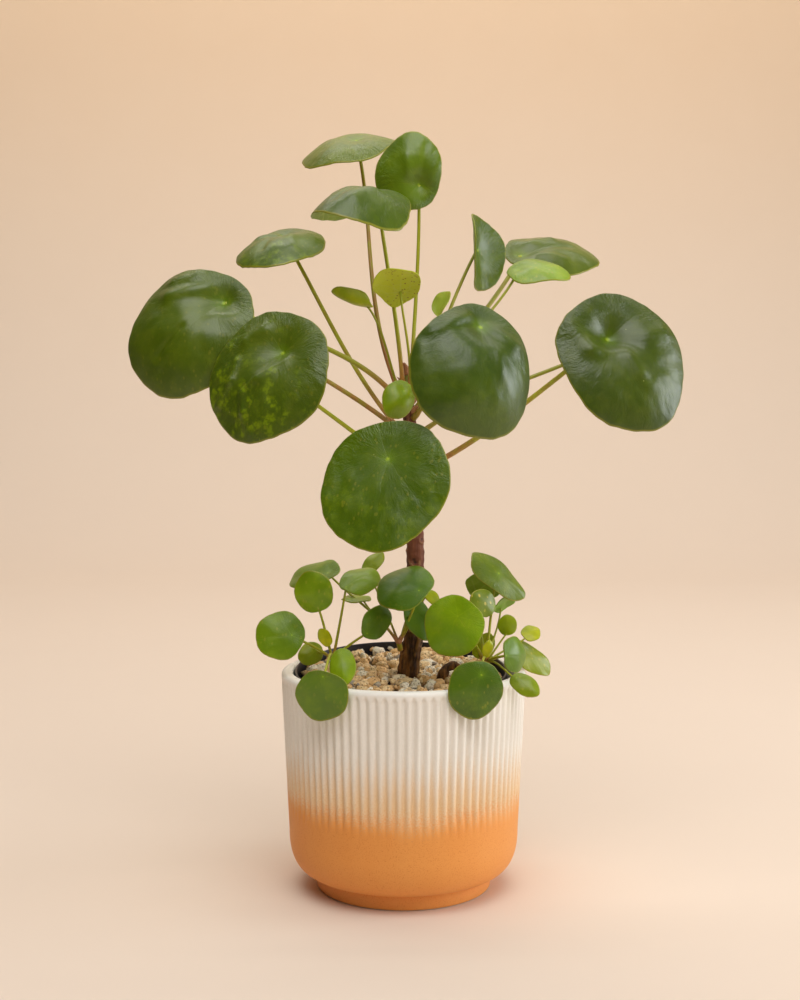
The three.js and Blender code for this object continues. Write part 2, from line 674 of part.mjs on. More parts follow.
function makePlantlet(plant) {
  const [foot, crown] = [new THREE.Vector3(...plant.foot), new THREE.Vector3(...plant.crown)];
  const parts = [makeStalk(new THREE.LineCurve3(foot, crown), plant.stub, STUB)];
  const start = crown.clone().addScaledVector(foot.clone().sub(crown).normalize(), SMALL_STALK.sunk);
  plant.leaves.forEach((leaf) => {
    const { up } = leafAxes(leaf);
    const end = new THREE.Vector3(...leaf.navel).addScaledVector(up, -SMALL_STALK.bite);
    const reach = start.distanceTo(end);
    const setOut = end.clone().sub(start).setZ(0).multiplyScalar(SMALL_STALK.spread);
    setOut.z = SMALL_STALK.rise * reach;
    const curve = new THREE.CubicBezierCurve3(
      start,
      start.clone().addScaledVector(setOut.normalize(), SMALL_STALK.leave * reach),
      end.clone().addScaledVector(arrival(start, end, up), -SMALL_STALK.arrive * reach),
      end,
    );
    const shape = leaf.length < TINY ? TINY_BLADE : SMALL_BLADE;
    parts.push(makeBlade(leaf, shape), makeStalk(curve, SMALL_STALK.radius, SMALL_STALK));
  });
  return piece(plant.name, fuse(parts), MATERIALS.youngLeaf);
}

// ------------------------------------------------------------------- assembly

const model = new THREE.Group();
leaning.add(makeLiner(), makeSoil(), makeGravel());
model.add(makePot(), leaning, makeTrunk());
CROWN.forEach((leaf) => model.add(makeCrownLeaf(leaf)));
PLANTLETS.forEach((plant) => model.add(makePlantlet(plant)));

export default model;
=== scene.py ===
"""The looks of a potted pilea: a fluted two-tone cover pot, a leaning nursery pot,
gravel, a woody trunk, a crown of round leaves and three leafy plantlets.

Tables and shape functions work in millimetres on the frame's own axes, and
make_piece turns them into metres. The origin is on the pot's axis under its foot,
+Z is up and -Y is towards the viewer. Colours are given as 0 to 255 screen values.
"""

import math

import bpy
import numpy as np
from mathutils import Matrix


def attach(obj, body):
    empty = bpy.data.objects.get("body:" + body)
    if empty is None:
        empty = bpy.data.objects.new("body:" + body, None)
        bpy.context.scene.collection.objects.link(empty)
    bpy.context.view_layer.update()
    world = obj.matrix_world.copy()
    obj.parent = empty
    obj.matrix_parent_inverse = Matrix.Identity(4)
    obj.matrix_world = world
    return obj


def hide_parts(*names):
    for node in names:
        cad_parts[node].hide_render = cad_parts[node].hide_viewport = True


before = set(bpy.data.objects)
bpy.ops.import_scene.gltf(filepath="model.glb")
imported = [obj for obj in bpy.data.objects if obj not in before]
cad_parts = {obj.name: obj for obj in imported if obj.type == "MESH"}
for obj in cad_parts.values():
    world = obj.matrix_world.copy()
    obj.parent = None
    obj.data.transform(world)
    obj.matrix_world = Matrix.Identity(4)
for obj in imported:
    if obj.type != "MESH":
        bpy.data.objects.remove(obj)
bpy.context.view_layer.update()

MM = 0.001
TURN = 2 * math.pi
GOLDEN = math.pi * (3 - math.sqrt(5))  # turn from one seed to the next on a sunflower
SPIRAL = 137.5  # much the same turn, in degrees

# ---------------------------------------------------------------- driving sizes

EYE = (-2.2, -914.4, 304.8)  # where the camera stands
EYE_PITCH = 4.154  # degrees below level
EYE_LENS = 54.0  # on a sensor whose long side is 36

POT = {
    "height": 134.2,
    "lip_radius": 75.0,
    "lip_inner": 67.7,
    "lip_round": 2.6,
    "lip_stand": 0.15,  # how far the lip stands out of the wall
    "waist_radius": 70.6,
    "waist_height": 36.0,
    "belly_reach": 16.8,
    "belly_depth": 26.0,
    "belly_fullness": 2 / 2.4,
    "foot_radius": 53.8,
    "foot_height": 10.0,
    "foot_round": 1.6,
    "hollow": [(65.6, 36.0), (63.1, 19.7), (55.0, 12.2), (48.0, 9.2)],
    "floor": 9.2,
    "flutes": 84,
    "flute_depth": 1.6,
    "flute_top": 131.4,
    "flute_end": 46.0,
    "flute_points": 10,  # round each flute
}
# Heights on the cover pot between which one glaze gives way to the next, from below,
# and the painted highlight on the lip comes in, then how much higher the orange and the
# tan reach in the grooves, and over what height a slow drift and the sprayed speckles
# move both.
GLAZE = {
    "bare_ring": (0.4, 0.9),
    "orange_to_tan": (49, 66),
    "tan_to_cream": (55, 93),
    # painted highlight: between these heights the lip is painted near white
    "lip_painted_highlight": (128, 132),
    "orange_in_grooves": 2,
    "tan_in_grooves": 11,
    "drift": 12,
    "speckle": 20,
}
LINER = {
    "rim_radius": 65.4,
    "bottom_radius": 48.3,
    "wall": 1.3,
    "tilt": math.radians(5.3),
    "shift": (-1.5, 1.6),  # of the rim's middle, aside and to the back
    "rim_height": 134.0,
}
GAP = 0.3  # clearance between neighbouring pieces
# Heights from the nursery pot's rim, on its leaning axis.
SOIL_TOP = -11.0
GRAVEL_TOP = -5.2
# The bed is painted near black-brown, as painted shade between the stones.
BED_TOP = -7.8  # of the dark bed that shows between the stones
STONES_END = -1.6  # no stone rises above this
# The layers of stones, from below: how many, least and greatest radius, and height.
STONE_LAYERS = [(330, 3.0, 4.6, -8.4), (230, 2.8, 5.2, -5.7), (130, 1.1, 2.6, -4.3)]
STONE_STRETCH = ((1.0, 0.8, 0.65), (1.35, 1.0, 0.9))  # least and most, along its three axes

# Centre x, z and radius of the trunk, from its foot in the soil to the growing tip.
TRUNK = [
    (2.8, 104, 5.6),
    (2.8, 124, 6.7),
    (3.6, 137, 6.2),
    (5.4, 150, 6.5),
    (7.0, 172, 5.9),
    (7.2, 205, 5.7),
    (6.0, 245, 5.3),
    (4.2, 280, 4.6),
    (2.6, 302, 3.5),
    (1.8, 315, 1.2),
]

# Heights on the trunk between which the bark changes.
BARK = {
    "coarse_to_smooth": (158, 186),
    "dark_to_reddish": (165, 190),
    "reddish_to_green": (296, 312),
}
# How far each kind of unevenness stands out of the trunk, on smooth and on coarse bark.
UNEVEN = {"cracks": (0.1, 0.3), "flakes": (0.06, 0.86), "burls": (0.0, 0.9), "scars": (0.5, 0.2)}
# Leaf scars: height, angle about +Z and size. The last one is large and stands alone.
SCARS = [(141 + 4.9 * k, 1.1 + k * GOLDEN, 2.5 - 0.024 * k) for k in range(34)]
SCARS.append((202, -1.72, 3.0))

# Centre line of the dark root stub that arches out of the gravel.
ROOT_STUB = [(22, -9, 122), (23, -9, 130), (26, -8, 136), (31, -7, 138), (36, -6, 133), (38, -6, 124)]
ROOT_RADIUS = 2.9

# Papery scales, up the growing tip and at each plantlet's heart: how many, then the least
# and the most of their elevation, length and width, and how far they curl.
TIP_SCALES = {"count": 11, "rise": (48, 72), "length": (7, 11), "width": (3.2, 4.6), "curl": 1.2}
HEART_SCALES = {"count": 6, "rise": (50, 72), "length": (4.5, 7), "width": (2, 2.8), "curl": 0.7}

# Every blade has seven main veins. They swing this far, in radians, off even spacing.
VEINS = 7
VEIN_SWING = 0.14

# A blade's mesh and edge: rings, points round each ring, the ripple of the edge as a
# share of the length, and the thickness.
GROWN_BLADE = (30, 132, 0.012, 0.95)
YOUNG_BLADE = (16, 72, 0.02, 0.8)
PLANTLET_BLADE = (14, 64, 0.02, 0.75)
TINY_BLADE = (10, 44, 0.02, 0.75)
YOUNG = 36  # crown leaves shorter than this are young ones
TINY = 20  # plantlet leaves up to this long are tiny ones

# Every crown leaf: navel (where its stalk meets the blade), which way the upper side
# faces (azimuth from the viewer towards +X, elevation), turn of the tip from straight
# downhill, length and width, share of the length behind the navel and of the width to
# one side of it (beside), how much the blade narrows towards its tip, the relief (cap,
# dimple, fold across, curl along), how far the navel sinks below that dimple, the
# leaf's own folds (each a ridge between two points, along and across from the navel,
# its width and its height), the stalk's root (height on the trunk, azimuth), the angle
# at which it rises there, its radius, how far it leans to the blade's upright where it
# arrives, then the colour of the upper side and the marks (blotches, pale spots,
# browning of the stalk), each from 0 to 1. PLAIN_LEAF has what a row leaves out.
PLAIN_LEAF = {"beside": 0.5, "narrow": 0.06, "sink": 0, "folds": [], "lean": 0.3}
CROWN = [
    {
        "name": "leaf_far_left", "navel": (-108, -15, 358), "face": (-18, 18), "turn": -38,
        "size": (84, 78), "behind": 0.18, "beside": 0.52, "relief": (14, 9, 0, 0), "sink": 3,
        "folds": [
            (19, -26, 0, -12, 5, 2.7), (27, -2, 50, -2, 2.2, -1.3), (10, -33, -2, -23, 4, 1.9),
            (8, 7, 2, 16, 5, 1.3),
        ],
        "root": (298, -88), "rise": 54, "stalk": 1.7,
        "tint": (82, 100, 4), "marks": (0.06, 0.1, 0.2),
    },
    {
        "name": "leaf_left", "navel": (-70, -58, 327), "face": (-28, 18), "turn": -34,
        "size": (80, 78), "behind": 0.30, "beside": 0.476, "relief": (9, 6, 0, 0), "sink": 2.5,
        "folds": [
            (7, -23, -4, -18, 5, 2.6), (18, 4, 3, 7, 4.5, 2.1), (20, 2, 32, 0, 2, 1.0),
            (32, 0, 40, 7, 2, 1.0), (40, 7, 47, 18, 2, 0.8), (20, -18, 31, -12, 2.6, 1.3),
            (31, -12, 47, -12, 2.4, 1.3),
        ],
        "root": (279, -55), "rise": 36, "stalk": 1.6,
        "tint": (80, 98, 6), "marks": (1.0, 0.1, 0.9),
    },
    {
        "name": "leaf_centre_right", "navel": (45, -62, 342), "face": (24, 17), "turn": -23,
        "size": (82, 74), "behind": 0.20, "beside": 0.46, "narrow": -0.16,
        "relief": (16, 5, 0, 0), "sink": 4,
        "folds": [
            (15, -29, -3, -10, 4, 2.2), (-1, 3, 4, 23, 5, 1.9), (15, 11, 28, 16, 4, 1.3),
            (25, -32, 34, -30, 3, 1.0),
        ],
        "root": (289, 36), "rise": 42, "stalk": 1.6,
        "tint": (66, 86, 2), "marks": (0.1, 0.0, 0.2),
    },
    {
        "name": "leaf_right", "navel": (122, -30, 337), "face": (21, 20), "turn": 15,
        "size": (88, 81), "behind": 0.31, "beside": 0.483, "relief": (11, 9, 0, 0), "sink": 6,
        "folds": [
            (-13, -24, 5, -19, 6, 1.8), (5, -19, 13, 1, 6, 2.0), (13, 1, 27, 3, 5, 1.6),
            (3, 9, 7, 33, 6, 1.3),
        ],
        "root": (257, 76), "rise": 26, "stalk": 1.8,
        "tint": (68, 84, 4), "marks": (0.08, 0.0, 0.6),
    },
    {
        "name": "leaf_front_low", "navel": (-9, -80, 267), "face": (-23, 24), "turn": 2,
        "size": (78, 77), "behind": 0.30, "relief": (2, 2, 0, 0),
        "root": (279, -8), "rise": 12, "stalk": 1.5,
        "tint": (82, 106, 2), "marks": (0.35, 0.15, 0.2),
    },
    {
        "name": "leaf_top_left", "navel": (-30, 56, 464), "face": (-38, 68), "turn": -95,
        "size": (66, 62), "behind": 0.36, "relief": (12, 4, 0, 0),
        "root": (302, -125), "rise": 60, "stalk": 1.5, "lean": 0.9,
        "tint": (106, 121, 13), "marks": (0.0, 0.0, 0.8),
    },
    {
        "name": "leaf_top", "navel": (9, 14, 431), "face": (-8, 4), "turn": 164,
        "size": (49, 41), "behind": 0.38, "beside": 0.30, "narrow": 0.08,
        "relief": (7, 5, 3, 0), "sink": 2,
        "folds": [(5, -7, 20, -9, 3.5, 1.3), (3, 6, 14, 11, 3, 1.2), (8, 0, 24, 2, 2.5, -0.8)],
        "root": (306, 158), "rise": 80, "stalk": 1.3, "lean": 0.35,
        "tint": (94, 118, 3), "marks": (0.1, 0.0, 0.0),
    },
    {
        "name": "leaf_upper_centre", "navel": (-16, -14, 424), "face": (-14, 72), "turn": -30,
        "size": (64, 54), "behind": 0.27, "relief": (13, 4, 11, -3), "sink": 1,
        "folds": [(10, -10, 24, -12, 4, 1.3), (10, 8, 28, 10, 4, 1.3), (12, -1, 34, -1, 3.5, -1.0)],
        "root": (307, -40), "rise": 84, "stalk": 1.4,
        "tint": (77, 97, 7), "marks": (0.1, 0.0, 0.1),
    },
    {
        "name": "leaf_left_upper", "navel": (-75, 30, 402), "face": (-22, 61), "turn": 6,
        "size": (60, 56), "behind": 0.32, "relief": (9, 5, 3, 0), "sink": 1.5,
        "folds": [(6, -14, 2, -4, 4, 1.5), (8, 8, 22, 14, 3.5, 1.2), (6, -2, 24, -6, 3, -0.8)],
        "root": (280, -112), "rise": 46, "stalk": 1.5, "lean": 0.0,
        "tint": (84, 104, 8), "marks": (0.7, 0.1, 0.5),
    },
    {
        "name": "leaf_right_upright", "navel": (46, 25, 392), "face": (62, 5), "turn": -6,
        "size": (48, 44), "behind": 0.46, "relief": (0, 2, -8, 2),
        "root": (304, 112), "rise": 62, "stalk": 1.3, "lean": 0.1,
        "tint": (84, 104, 1), "marks": (0.4, 0.1, 0.2),
    },
    {
        "name": "leaf_right_back", "navel": (76, 62, 393), "face": (22, 57), "turn": 92,
        "size": (66, 50), "behind": 0.15, "relief": (7, 3, 0, 0), "sink": 1.5,
        "folds": [(6, 0, 34, 2, 3.5, -1.3), (8, -8, 24, -14, 3.5, 1.2), (8, 8, 26, 13, 3.5, 1.2)],
        "root": (292, 138), "rise": 52, "stalk": 1.8,
        "tint": (89, 104, 18), "marks": (0.0, 0.0, 0.4),
    },
    {
        "name": "leaf_right_pale", "navel": (72, 30, 380), "face": (5, 55), "turn": 80,
        "size": (40, 27), "behind": 0.18, "narrow": 0.3, "relief": (3, 2, 0, 3),
        "root": (295, 100), "rise": 62, "stalk": 1.1,
        "tint": (132, 158, 42), "marks": (0.1, 0.3, 0.0),
    },
    {
        "name": "leaf_young_centre", "navel": (-2, -18, 364), "face": (182, 53), "turn": 179,
        "size": (34, 28), "behind": 0.36, "beside": 0.58, "narrow": -0.24, "relief": (3, 2, 0, 0),
        "root": (308, 20), "rise": 76, "stalk": 0.9,
        "tint": (208, 212, 12), "marks": (0.2, 0.9, 0.0),
    },
    {
        "name": "leaf_young_left", "navel": (-22, -12, 355), "face": (-40, -38), "turn": -116,
        "size": (29, 11), "behind": 0.12, "beside": 0.62, "relief": (3, 0, 3, 0),
        "root": (302, -68), "rise": 66, "stalk": 0.9,
        "tint": (170, 180, 30), "marks": (0.2, 0.1, 0.0),
    },
    {
        "name": "leaf_bud_front", "navel": (0, -22, 305), "face": (20, 12), "turn": -31,
        "size": (25, 20), "behind": 0.27, "relief": (5, 2, 0, 0),
        "root": (301, -16), "rise": 24, "stalk": 0.9,
        "tint": (131, 155, 8), "marks": (0.1, 0.1, 0.0),
    },
    {
        "name": "leaf_bud_back", "navel": (21, 15, 353), "face": (-40, 20), "turn": 160,
        "size": (17, 12), "behind": 0.12, "relief": (0, 0, -3, 0),
        "root": (309, 75), "rise": 72, "stalk": 0.8,
        "tint": (176, 190, 70), "marks": (0.1, 0.0, 0.0),
    },
    {
        "name": "leaf_hidden_left", "navel": (-73, -27, 313), "face": (-30, 25), "turn": -30,
        "size": (46, 43), "behind": 0.33, "relief": (5, 3, 0, 0),
        "root": (257, -74), "rise": 38, "stalk": 1.5,
        "tint": (62, 102, 20), "marks": (0.3, 0.1, 0.1),
    },
    {
        "name": "leaf_hidden_right", "navel": (124, 16, 333), "face": (25, 25), "turn": 15,
        "size": (48, 45), "behind": 0.33, "relief": (5, 3, 0, 0),
        "root": (279, 92), "rise": 38, "stalk": 1.5,
        "tint": (62, 102, 20), "marks": (0.3, 0.1, 0.1),
    },
]

# A plantlet's leaves: navel, face, turn, length and width, share behind the navel,
# cap, colour of the upper side, pale spots.
PLANTLETS = [
    {
        "name": "plantlet_left", "foot": (-43, -12, 112), "crown": (-43, -12, 143), "stub": 2.0,
        "leaves": [
            ((-67, -24, 159), (-4, 22), -91, (30, 30), 0.25, 2, (115, 146, 7), 0.2),
            ((-52, -8, 173), (-8, 3), -162, (26, 24), 0.10, 2, (139, 172, 8), 0.3),
            ((-54, 0, 146), (16, 24), -58, (17, 14), 0.28, 2, (147, 160, 12), 0.1),
            ((-45, -14, 152), (31, 21), -157, (12, 9), 0.10, 1, (205, 200, 18), 0.0),
            ((-37, -40, 151), (-11, 33), 12, (24, 16), 0.16, 3, (143, 172, 9), 0.0),
            ((-46, -72, 143), (-8, -6), -4, (30, 31), 0.11, 1, (95, 125, 13), 0.1),
            ((-35, -8, 186), (9, 55), 124, (28, 22), 0.08, 3, (132, 160, 13), 0.1),
            ((-22, -18, 159), (31, 7), 131, (24, 18), 0.10, 1, (105, 137, 13), 0.1),
        ],
    },
    {
        "name": "plantlet_centre", "foot": (-2.0, -6.0, 147), "crown": (-3, -9, 152), "stub": 1.8,
        "leaves": [
            ((-48, 30, 190), (-53, 52), -78, (42, 28), 0.17, 2, (121, 154, 18), 0.1),
            ((-26, 18, 176), (-14, 79), -88, (19, 14), 0.30, 1, (149, 172, 20), 0.0),
            ((-23, 21, 194), (-20, 40), 150, (18, 12), 0.18, 1, (155, 172, 10), 0.0),
            ((9, -32, 187), (-15, 52), -115, (33, 38), 0.15, 5, (89, 126, 8), 0.1),
            ((5, -16, 175), (26, 9), 30, (28, 18), 0.16, 1, (100, 138, 13), 0.0),
            ((15, -8, 182), (38, 22), 52, (12, 9), 0.16, 1, (181, 192, 24), 0.0),
        ],
    },
    {
        "name": "plantlet_right", "foot": (50, -10, 112), "crown": (50, -10, 140), "stub": 2.2,
        "leaves": [
            ((32, -34, 172), (-12, 5), -24, (37, 36), 0.31, 2, (144, 180, 3), 0.1),
            ((58, -6, 194), (37, 29), 44, (43, 22), 0.47, 3, (110, 130, 22), 0.1),
            ((45, 16, 180), (171, 37), -136, (25, 23), 0.14, 1, (129, 172, 7), 0.1),
            ((55, -13, 175), (33, 15), -108, (19, 17), 0.05, 1, (121, 137, 7), 1.0),
            ((60, 8, 171), (-140, 50), 170, (20, 15), 0.19, 1, (106, 170, 8), 0.1),
            ((63, -6, 157), (-1, 0), 175, (13, 12), 0.10, 1, (156, 172, 9), 0.1),
            ((75, -2, 154), (12, 48), 130, (13, 12), 0.06, 1, (189, 192, 15), 0.2),
            ((61, -32, 148), (52, 9), 86, (23, 22), 0.05, 3, (98, 130, 6), 0.0),
            ((73, -2, 145), (38, 27), 52, (33, 18), 0.27, 1, (136, 149, 18), 0.5),
            ((66, -44, 137), (-2, 37), 52, (20, 13), 0.17, 2, (129, 147, 11), 0.2),
            ((44, -72, 144), (8, 1), -20, (34, 32), 0.22, 3, (79, 109, 8), 0.2),
            ((50, -17, 145), (21, 0), 164, (11, 7), 0.10, 1, (200, 200, 24), 0.0),
            ((47, 10, 142), (-11, 16), 151, (18, 13), 0.20, 1, (161, 172, 10), 0.1),
        ],
    },
]

# The studio's lamps, in metres and watts: name, place, aim, size, power, colour, and
# whether glossy surfaces mirror it. A faint even light from all round joins them.
DAYLIGHT, WARM, AMBER = (0.94, 0.97, 1.0), (1.0, 0.98, 0.95), (1.0, 0.945, 0.865)
LAMPS = [
    ("key_right", (1.9, 0.05, 0.6), (0, 0, 0.25), (1.1, 1.0), 18.5, DAYLIGHT, True),
    ("fill_front", (0.8, -1.4, 0.9), (0, 0, 0.12), (1.4, 1.1), 7, WARM, False),
    ("top", (0.05, -0.68, 1.56), (0, 0, 0.2), (1.5, 1.2), 18, WARM, True),
    ("top_behind", (-0.2, 0.8, 1.6), (0, 0, 0.2), (1.4, 0.9), 3, WARM, True),
    ("wall_wash", (0, 0.9, 2.7), (0, 2.6, 1.0), (4.8, 0.8), 66, AMBER, True),
]
EVEN_LIGHT = 0.04

# ------------------------------------------------------------- numbers and meshes


def screen(red, green, blue):
    """A screen colour, 0 to 255, as the linear colour that shaders take."""
    share = np.array([red, green, blue]) / 255
    linear = np.where(share <= 0.04045, share / 12.92, ((share + 0.055) / 1.055) ** 2.4)
    return (*linear.tolist(), 1.0)


def unit(vector):
    """The vector, or each row of an array of vectors, at length one."""
    return vector / np.linalg.norm(vector, axis=-1, keepdims=True)


def ease(value, low, high):
    """0 below low, 1 above high, and a smooth step between them."""
    share = np.clip((value - low) / (high - low), 0, 1)
    return share * share * (3 - 2 * share)


def heading(azimuth, elevation):
    """The direction at an azimuth, from the viewer towards +X, and an elevation."""
    a, e = math.radians(azimuth), math.radians(elevation)
    return np.array([math.cos(e) * math.sin(a), -math.cos(e) * math.cos(a), math.sin(e)])


LATTICE = np.random.default_rng(11).random((32, 32, 32))


def noise(points, period):
    """Smooth noise from -1 to 1 at each point: random numbers on a cubic lattice,
    one period apart, blended by smooth steps along x, y and z."""
    scaled = points / period
    cell = np.floor(scaled).astype(int)
    inside = scaled - cell
    inside = inside * inside * (3 - 2 * inside)
    total = 0
    for corner in np.ndindex(2, 2, 2):
        at = (cell + corner) % len(LATTICE)
        weight = np.prod(np.where(np.array(corner) == 1, inside, 1 - inside), axis=-1)
        total = total + weight * LATTICE[at[..., 0], at[..., 1], at[..., 2]]
    return 2 * total - 1


def closed_surface(grid, **maps):
    """A closed skin from a grid of points, rows by columns: the columns run round,
    anticlockwise seen from the last row, and join up, and the first and the last row
    each shrink to one point. Maps are grids of values carried by the points."""
    rows, columns = grid.shape[:2]

    def keep(a):
        return np.concatenate([a[0, :1], a[1:-1].reshape(-1, a.shape[-1]), a[-1, :1]])

    here = np.arange(columns)
    after = (here + 1) % columns
    start = 1 + columns * np.arange(rows - 3)[:, None]
    quads = np.stack([start + here, start + after, start + columns + after, start + columns + here], -1)
    last = 1 + columns * (rows - 2)
    bottom = np.stack([0 * here, 1 + after, 1 + here], -1)
    top = np.stack([0 * here + last, last - columns + here, last - columns + after], -1)
    return {
        "points": keep(grid),
        "quads": quads.reshape(-1, 4),
        "tris": np.concatenate([bottom, top]),
        "maps": {name: keep(values) for name, values in maps.items()},
    }


def make_piece(name, surfaces, material, slot, *nodes):
    """One object from several closed skins. Its place is in its mesh, in metres. It
    rides on the one body and stands for the named nodes."""
    starts = np.cumsum([0] + [len(s["points"]) for s in surfaces])
    points = np.concatenate([s["points"] for s in surfaces]) * MM
    quads = np.concatenate([s["quads"] + k for s, k in zip(surfaces, starts)])
    tris = np.concatenate([s["tris"] + k for s, k in zip(surfaces, starts)])
    mesh = bpy.data.meshes.new(name)
    mesh.vertices.add(len(points))
    mesh.vertices.foreach_set("co", points.astype(np.float32).ravel())
    corners = np.concatenate([quads.ravel(), tris.ravel()])
    mesh.loops.add(len(corners))
    mesh.loops.foreach_set("vertex_index", corners.astype(np.int32))
    first = np.concatenate([np.arange(len(quads)) * 4, quads.size + np.arange(len(tris)) * 3])
    mesh.polygons.add(len(first))
    mesh.polygons.foreach_set("loop_start", first.astype(np.int32))
    for key in surfaces[0]["maps"]:
        values = np.concatenate([s["maps"][key] for s in surfaces])
        layer = mesh.attributes.new(key, "FLOAT_VECTOR", "POINT")
        layer.data.foreach_set("vector", values.astype(np.float32).ravel())
    mesh.update(calc_edges=True)
    mesh.shade_smooth()
    mesh.materials.append(material)
    piece = bpy.data.objects.new(name, mesh)
    bpy.context.scene.collection.objects.link(piece)
    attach(piece, "root")
    if nodes:
        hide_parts(*nodes)


def lathe(profile, columns):
    """A grid of points from a profile of (radius, height) turned about the Z axis."""
    profile = np.asarray(profile, float)
    angle = TURN * np.arange(columns) / columns
    radius, height = profile[:, :1], profile[:, 1:]
    return np.stack([radius * np.cos(angle), radius * np.sin(angle), height + 0 * angle], -1)


def refine(profile, step):
    """The profile with points added, so that none lie further apart than the step."""
    profile = np.asarray(profile, float)
    found = [profile[:1]]
    for a, b in zip(profile[:-1], profile[1:]):
        count = max(1, math.ceil(np.linalg.norm(b - a) / step))
        found.append(a + (b - a) * (np.arange(1, count + 1) / count)[:, None])
    return np.concatenate(found)


def arc(centre, radii, first, last, count):
    """Points on an ellipse's arc, from one angle to another in degrees."""
    angle = np.radians(np.linspace(first, last, count))
    return zip(centre[0] + radii[0] * np.cos(angle), centre[1] + radii[1] * np.sin(angle))


# ------------------------------------------------------------------- materials


class Finish:
    """A material being made: each method adds a node, or a few, and gives the result."""

    def __init__(self, name):
        self.material = bpy.data.materials.new(name)
        self.material.use_nodes = True
        self.tree = self.material.node_tree
        self.shader = self.tree.nodes["Principled BSDF"]

    def put(self, socket, value):
        if isinstance(value, bpy.types.NodeSocket):
            self.tree.links.new(value, socket)
        else:
            socket.default_value = value

    def add(self, kind, inputs, result=0, **settings):
        node = self.tree.nodes.new("ShaderNode" + kind)
        for key, value in settings.items():
            setattr(node, key, value)
        for key, value in inputs.items():
            self.put(node.inputs[key], value)
        return node.outputs[result]

    def place(self):
        return self.add("TexCoord", {}, "Object")

    def carried(self, name):
        return self.add("Attribute", {}, "Vector", attribute_name=name)

    def split(self, vector):
        found = self.add("SeparateXYZ", {0: vector})
        return found.node.outputs

    def join(self, x, y, z):
        return self.add("CombineXYZ", {0: x, 1: y, 2: z})

    def math(self, operation, a, b=0.0, c=0.0):
        return self.add("Math", {0: a, 1: b, 2: c}, operation=operation)

    def times(self, a, b):
        return self.math("MULTIPLY", a, b)

    def plus(self, a, b):
        return self.math("ADD", a, b)

    def less(self, a, b):
        return self.math("SUBTRACT", a, b)

    def sway(self, value, reach):
        """A value from 0 to 1 as a shift of half the reach either way."""
        return self.math("MULTIPLY_ADD", value, reach, -reach / 2)

    def scaled(self, vector, factors):
        return self.add("VectorMath", {0: vector, 1: factors}, operation="MULTIPLY")

    def moved(self, vector, shift):
        return self.add("VectorMath", {0: vector, 1: shift}, operation="ADD")

    def ease(self, value, low, high, least=0.0, most=1.0):
        inputs = {"Value": value, "From Min": low, "From Max": high, "To Min": least, "To Max": most}
        return self.add("MapRange", inputs, interpolation_type="SMOOTHSTEP")

    def band(self, height, ends, *shares):
        """The smooth step between two heights that are given in millimetres."""
        low, high = ends
        return self.ease(height, low * MM, high * MM, *shares)

    def mix(self, share, a, b, blend="MIX"):
        inputs = {0: share, 6: a, 7: b}
        return self.add("Mix", inputs, 2, data_type="RGBA", blend_type=blend)

    def noise(self, vector, scale, detail=2.0, roughness=0.5, result=0):
        inputs = {"Vector": vector, "Scale": scale, "Detail": detail, "Roughness": roughness}
        return self.add("TexNoise", inputs, result)

    def cells(self, vector, scale, feature="F1"):
        return self.add("TexVoronoi", {"Vector": vector, "Scale": scale}, "Distance", feature=feature)

    def bump(self, height, distance, strength=1.0):
        inputs = {"Height": height, "Distance": distance * MM, "Strength": strength}
        return self.add("Bump", inputs)

    def done(self, **sockets):
        for key, value in sockets.items():
            self.put(self.shader.inputs[key.replace("_", " ")], value)
        return self.material


def pot_glaze():
    """Satin off-white glaze that breaks, through sprayed speckles of tan, into a matt
    orange. Both bands reach higher in the grooves than on the ribs, and drift a little
    round the pot. The top of the lip is painted near white, a painted highlight, and the
    ring the pot stands on is bare."""
    f = Finish("pot_glaze")
    place = f.place()
    height = f.split(place)[2]
    groove = f.split(f.carried("groove"))[0]
    drift = f.noise(f.scaled(place, (1, 1, 0.35)), 45, 2)
    grain = f.noise(place, 1500, 2, 0.7)
    spray = f.plus(f.sway(drift, GLAZE["drift"] * MM), f.sway(grain, GLAZE["speckle"] * MM))
    level = f.plus(height, spray)
    tan_level = f.less(level, f.times(groove, GLAZE["orange_in_grooves"] * MM))
    cream_level = f.less(level, f.times(groove, GLAZE["tan_in_grooves"] * MM))
    sprayed = f.band(tan_level, GLAZE["orange_to_tan"])
    white = f.band(cream_level, GLAZE["tan_to_cream"])
    cream = f.mix(f.noise(place, 700, 1), screen(236, 230, 219), screen(243, 238, 229))
    orange = f.mix(drift, screen(234, 150, 68), screen(240, 164, 84))
    orange = f.mix(f.ease(grain, 0.52, 0.75), orange, screen(216, 126, 50))
    tan = f.mix(grain, screen(226, 184, 134), screen(246, 216, 172))
    colour = f.mix(white, f.mix(sprayed, orange, tan), cream)
    colour = f.mix(f.band(height, GLAZE["bare_ring"]), screen(214, 190, 160), colour)
    # painted highlight: the top of the lip is painted near white, standing in for its highlight
    painted_lip_highlight = f.band(height, GLAZE["lip_painted_highlight"], 0.0, 0.7)
    colour = f.mix(painted_lip_highlight, colour, screen(250, 247, 240))
    satin = f.ease(sprayed, 0, 1, 0.58, 0.36)
    return f.done(Base_Color=colour, Roughness=satin, Normal=f.bump(grain, 0.05, 0.5))


def black_plastic():
    """Thin bluish black moulding with a dusting of dried potting mix."""
    f = Finish("black_plastic")
    place = f.place()
    dust = f.ease(f.noise(place, 220, 4, 0.65), 0.55, 0.75)
    colour = f.mix(f.times(dust, 0.35), screen(36, 35, 41), screen(112, 92, 74))
    matt = f.ease(dust, 0, 1, 0.42, 0.7)
    return f.done(Base_Color=colour, Roughness=matt, Normal=f.bump(dust, 0.1, 0.4))


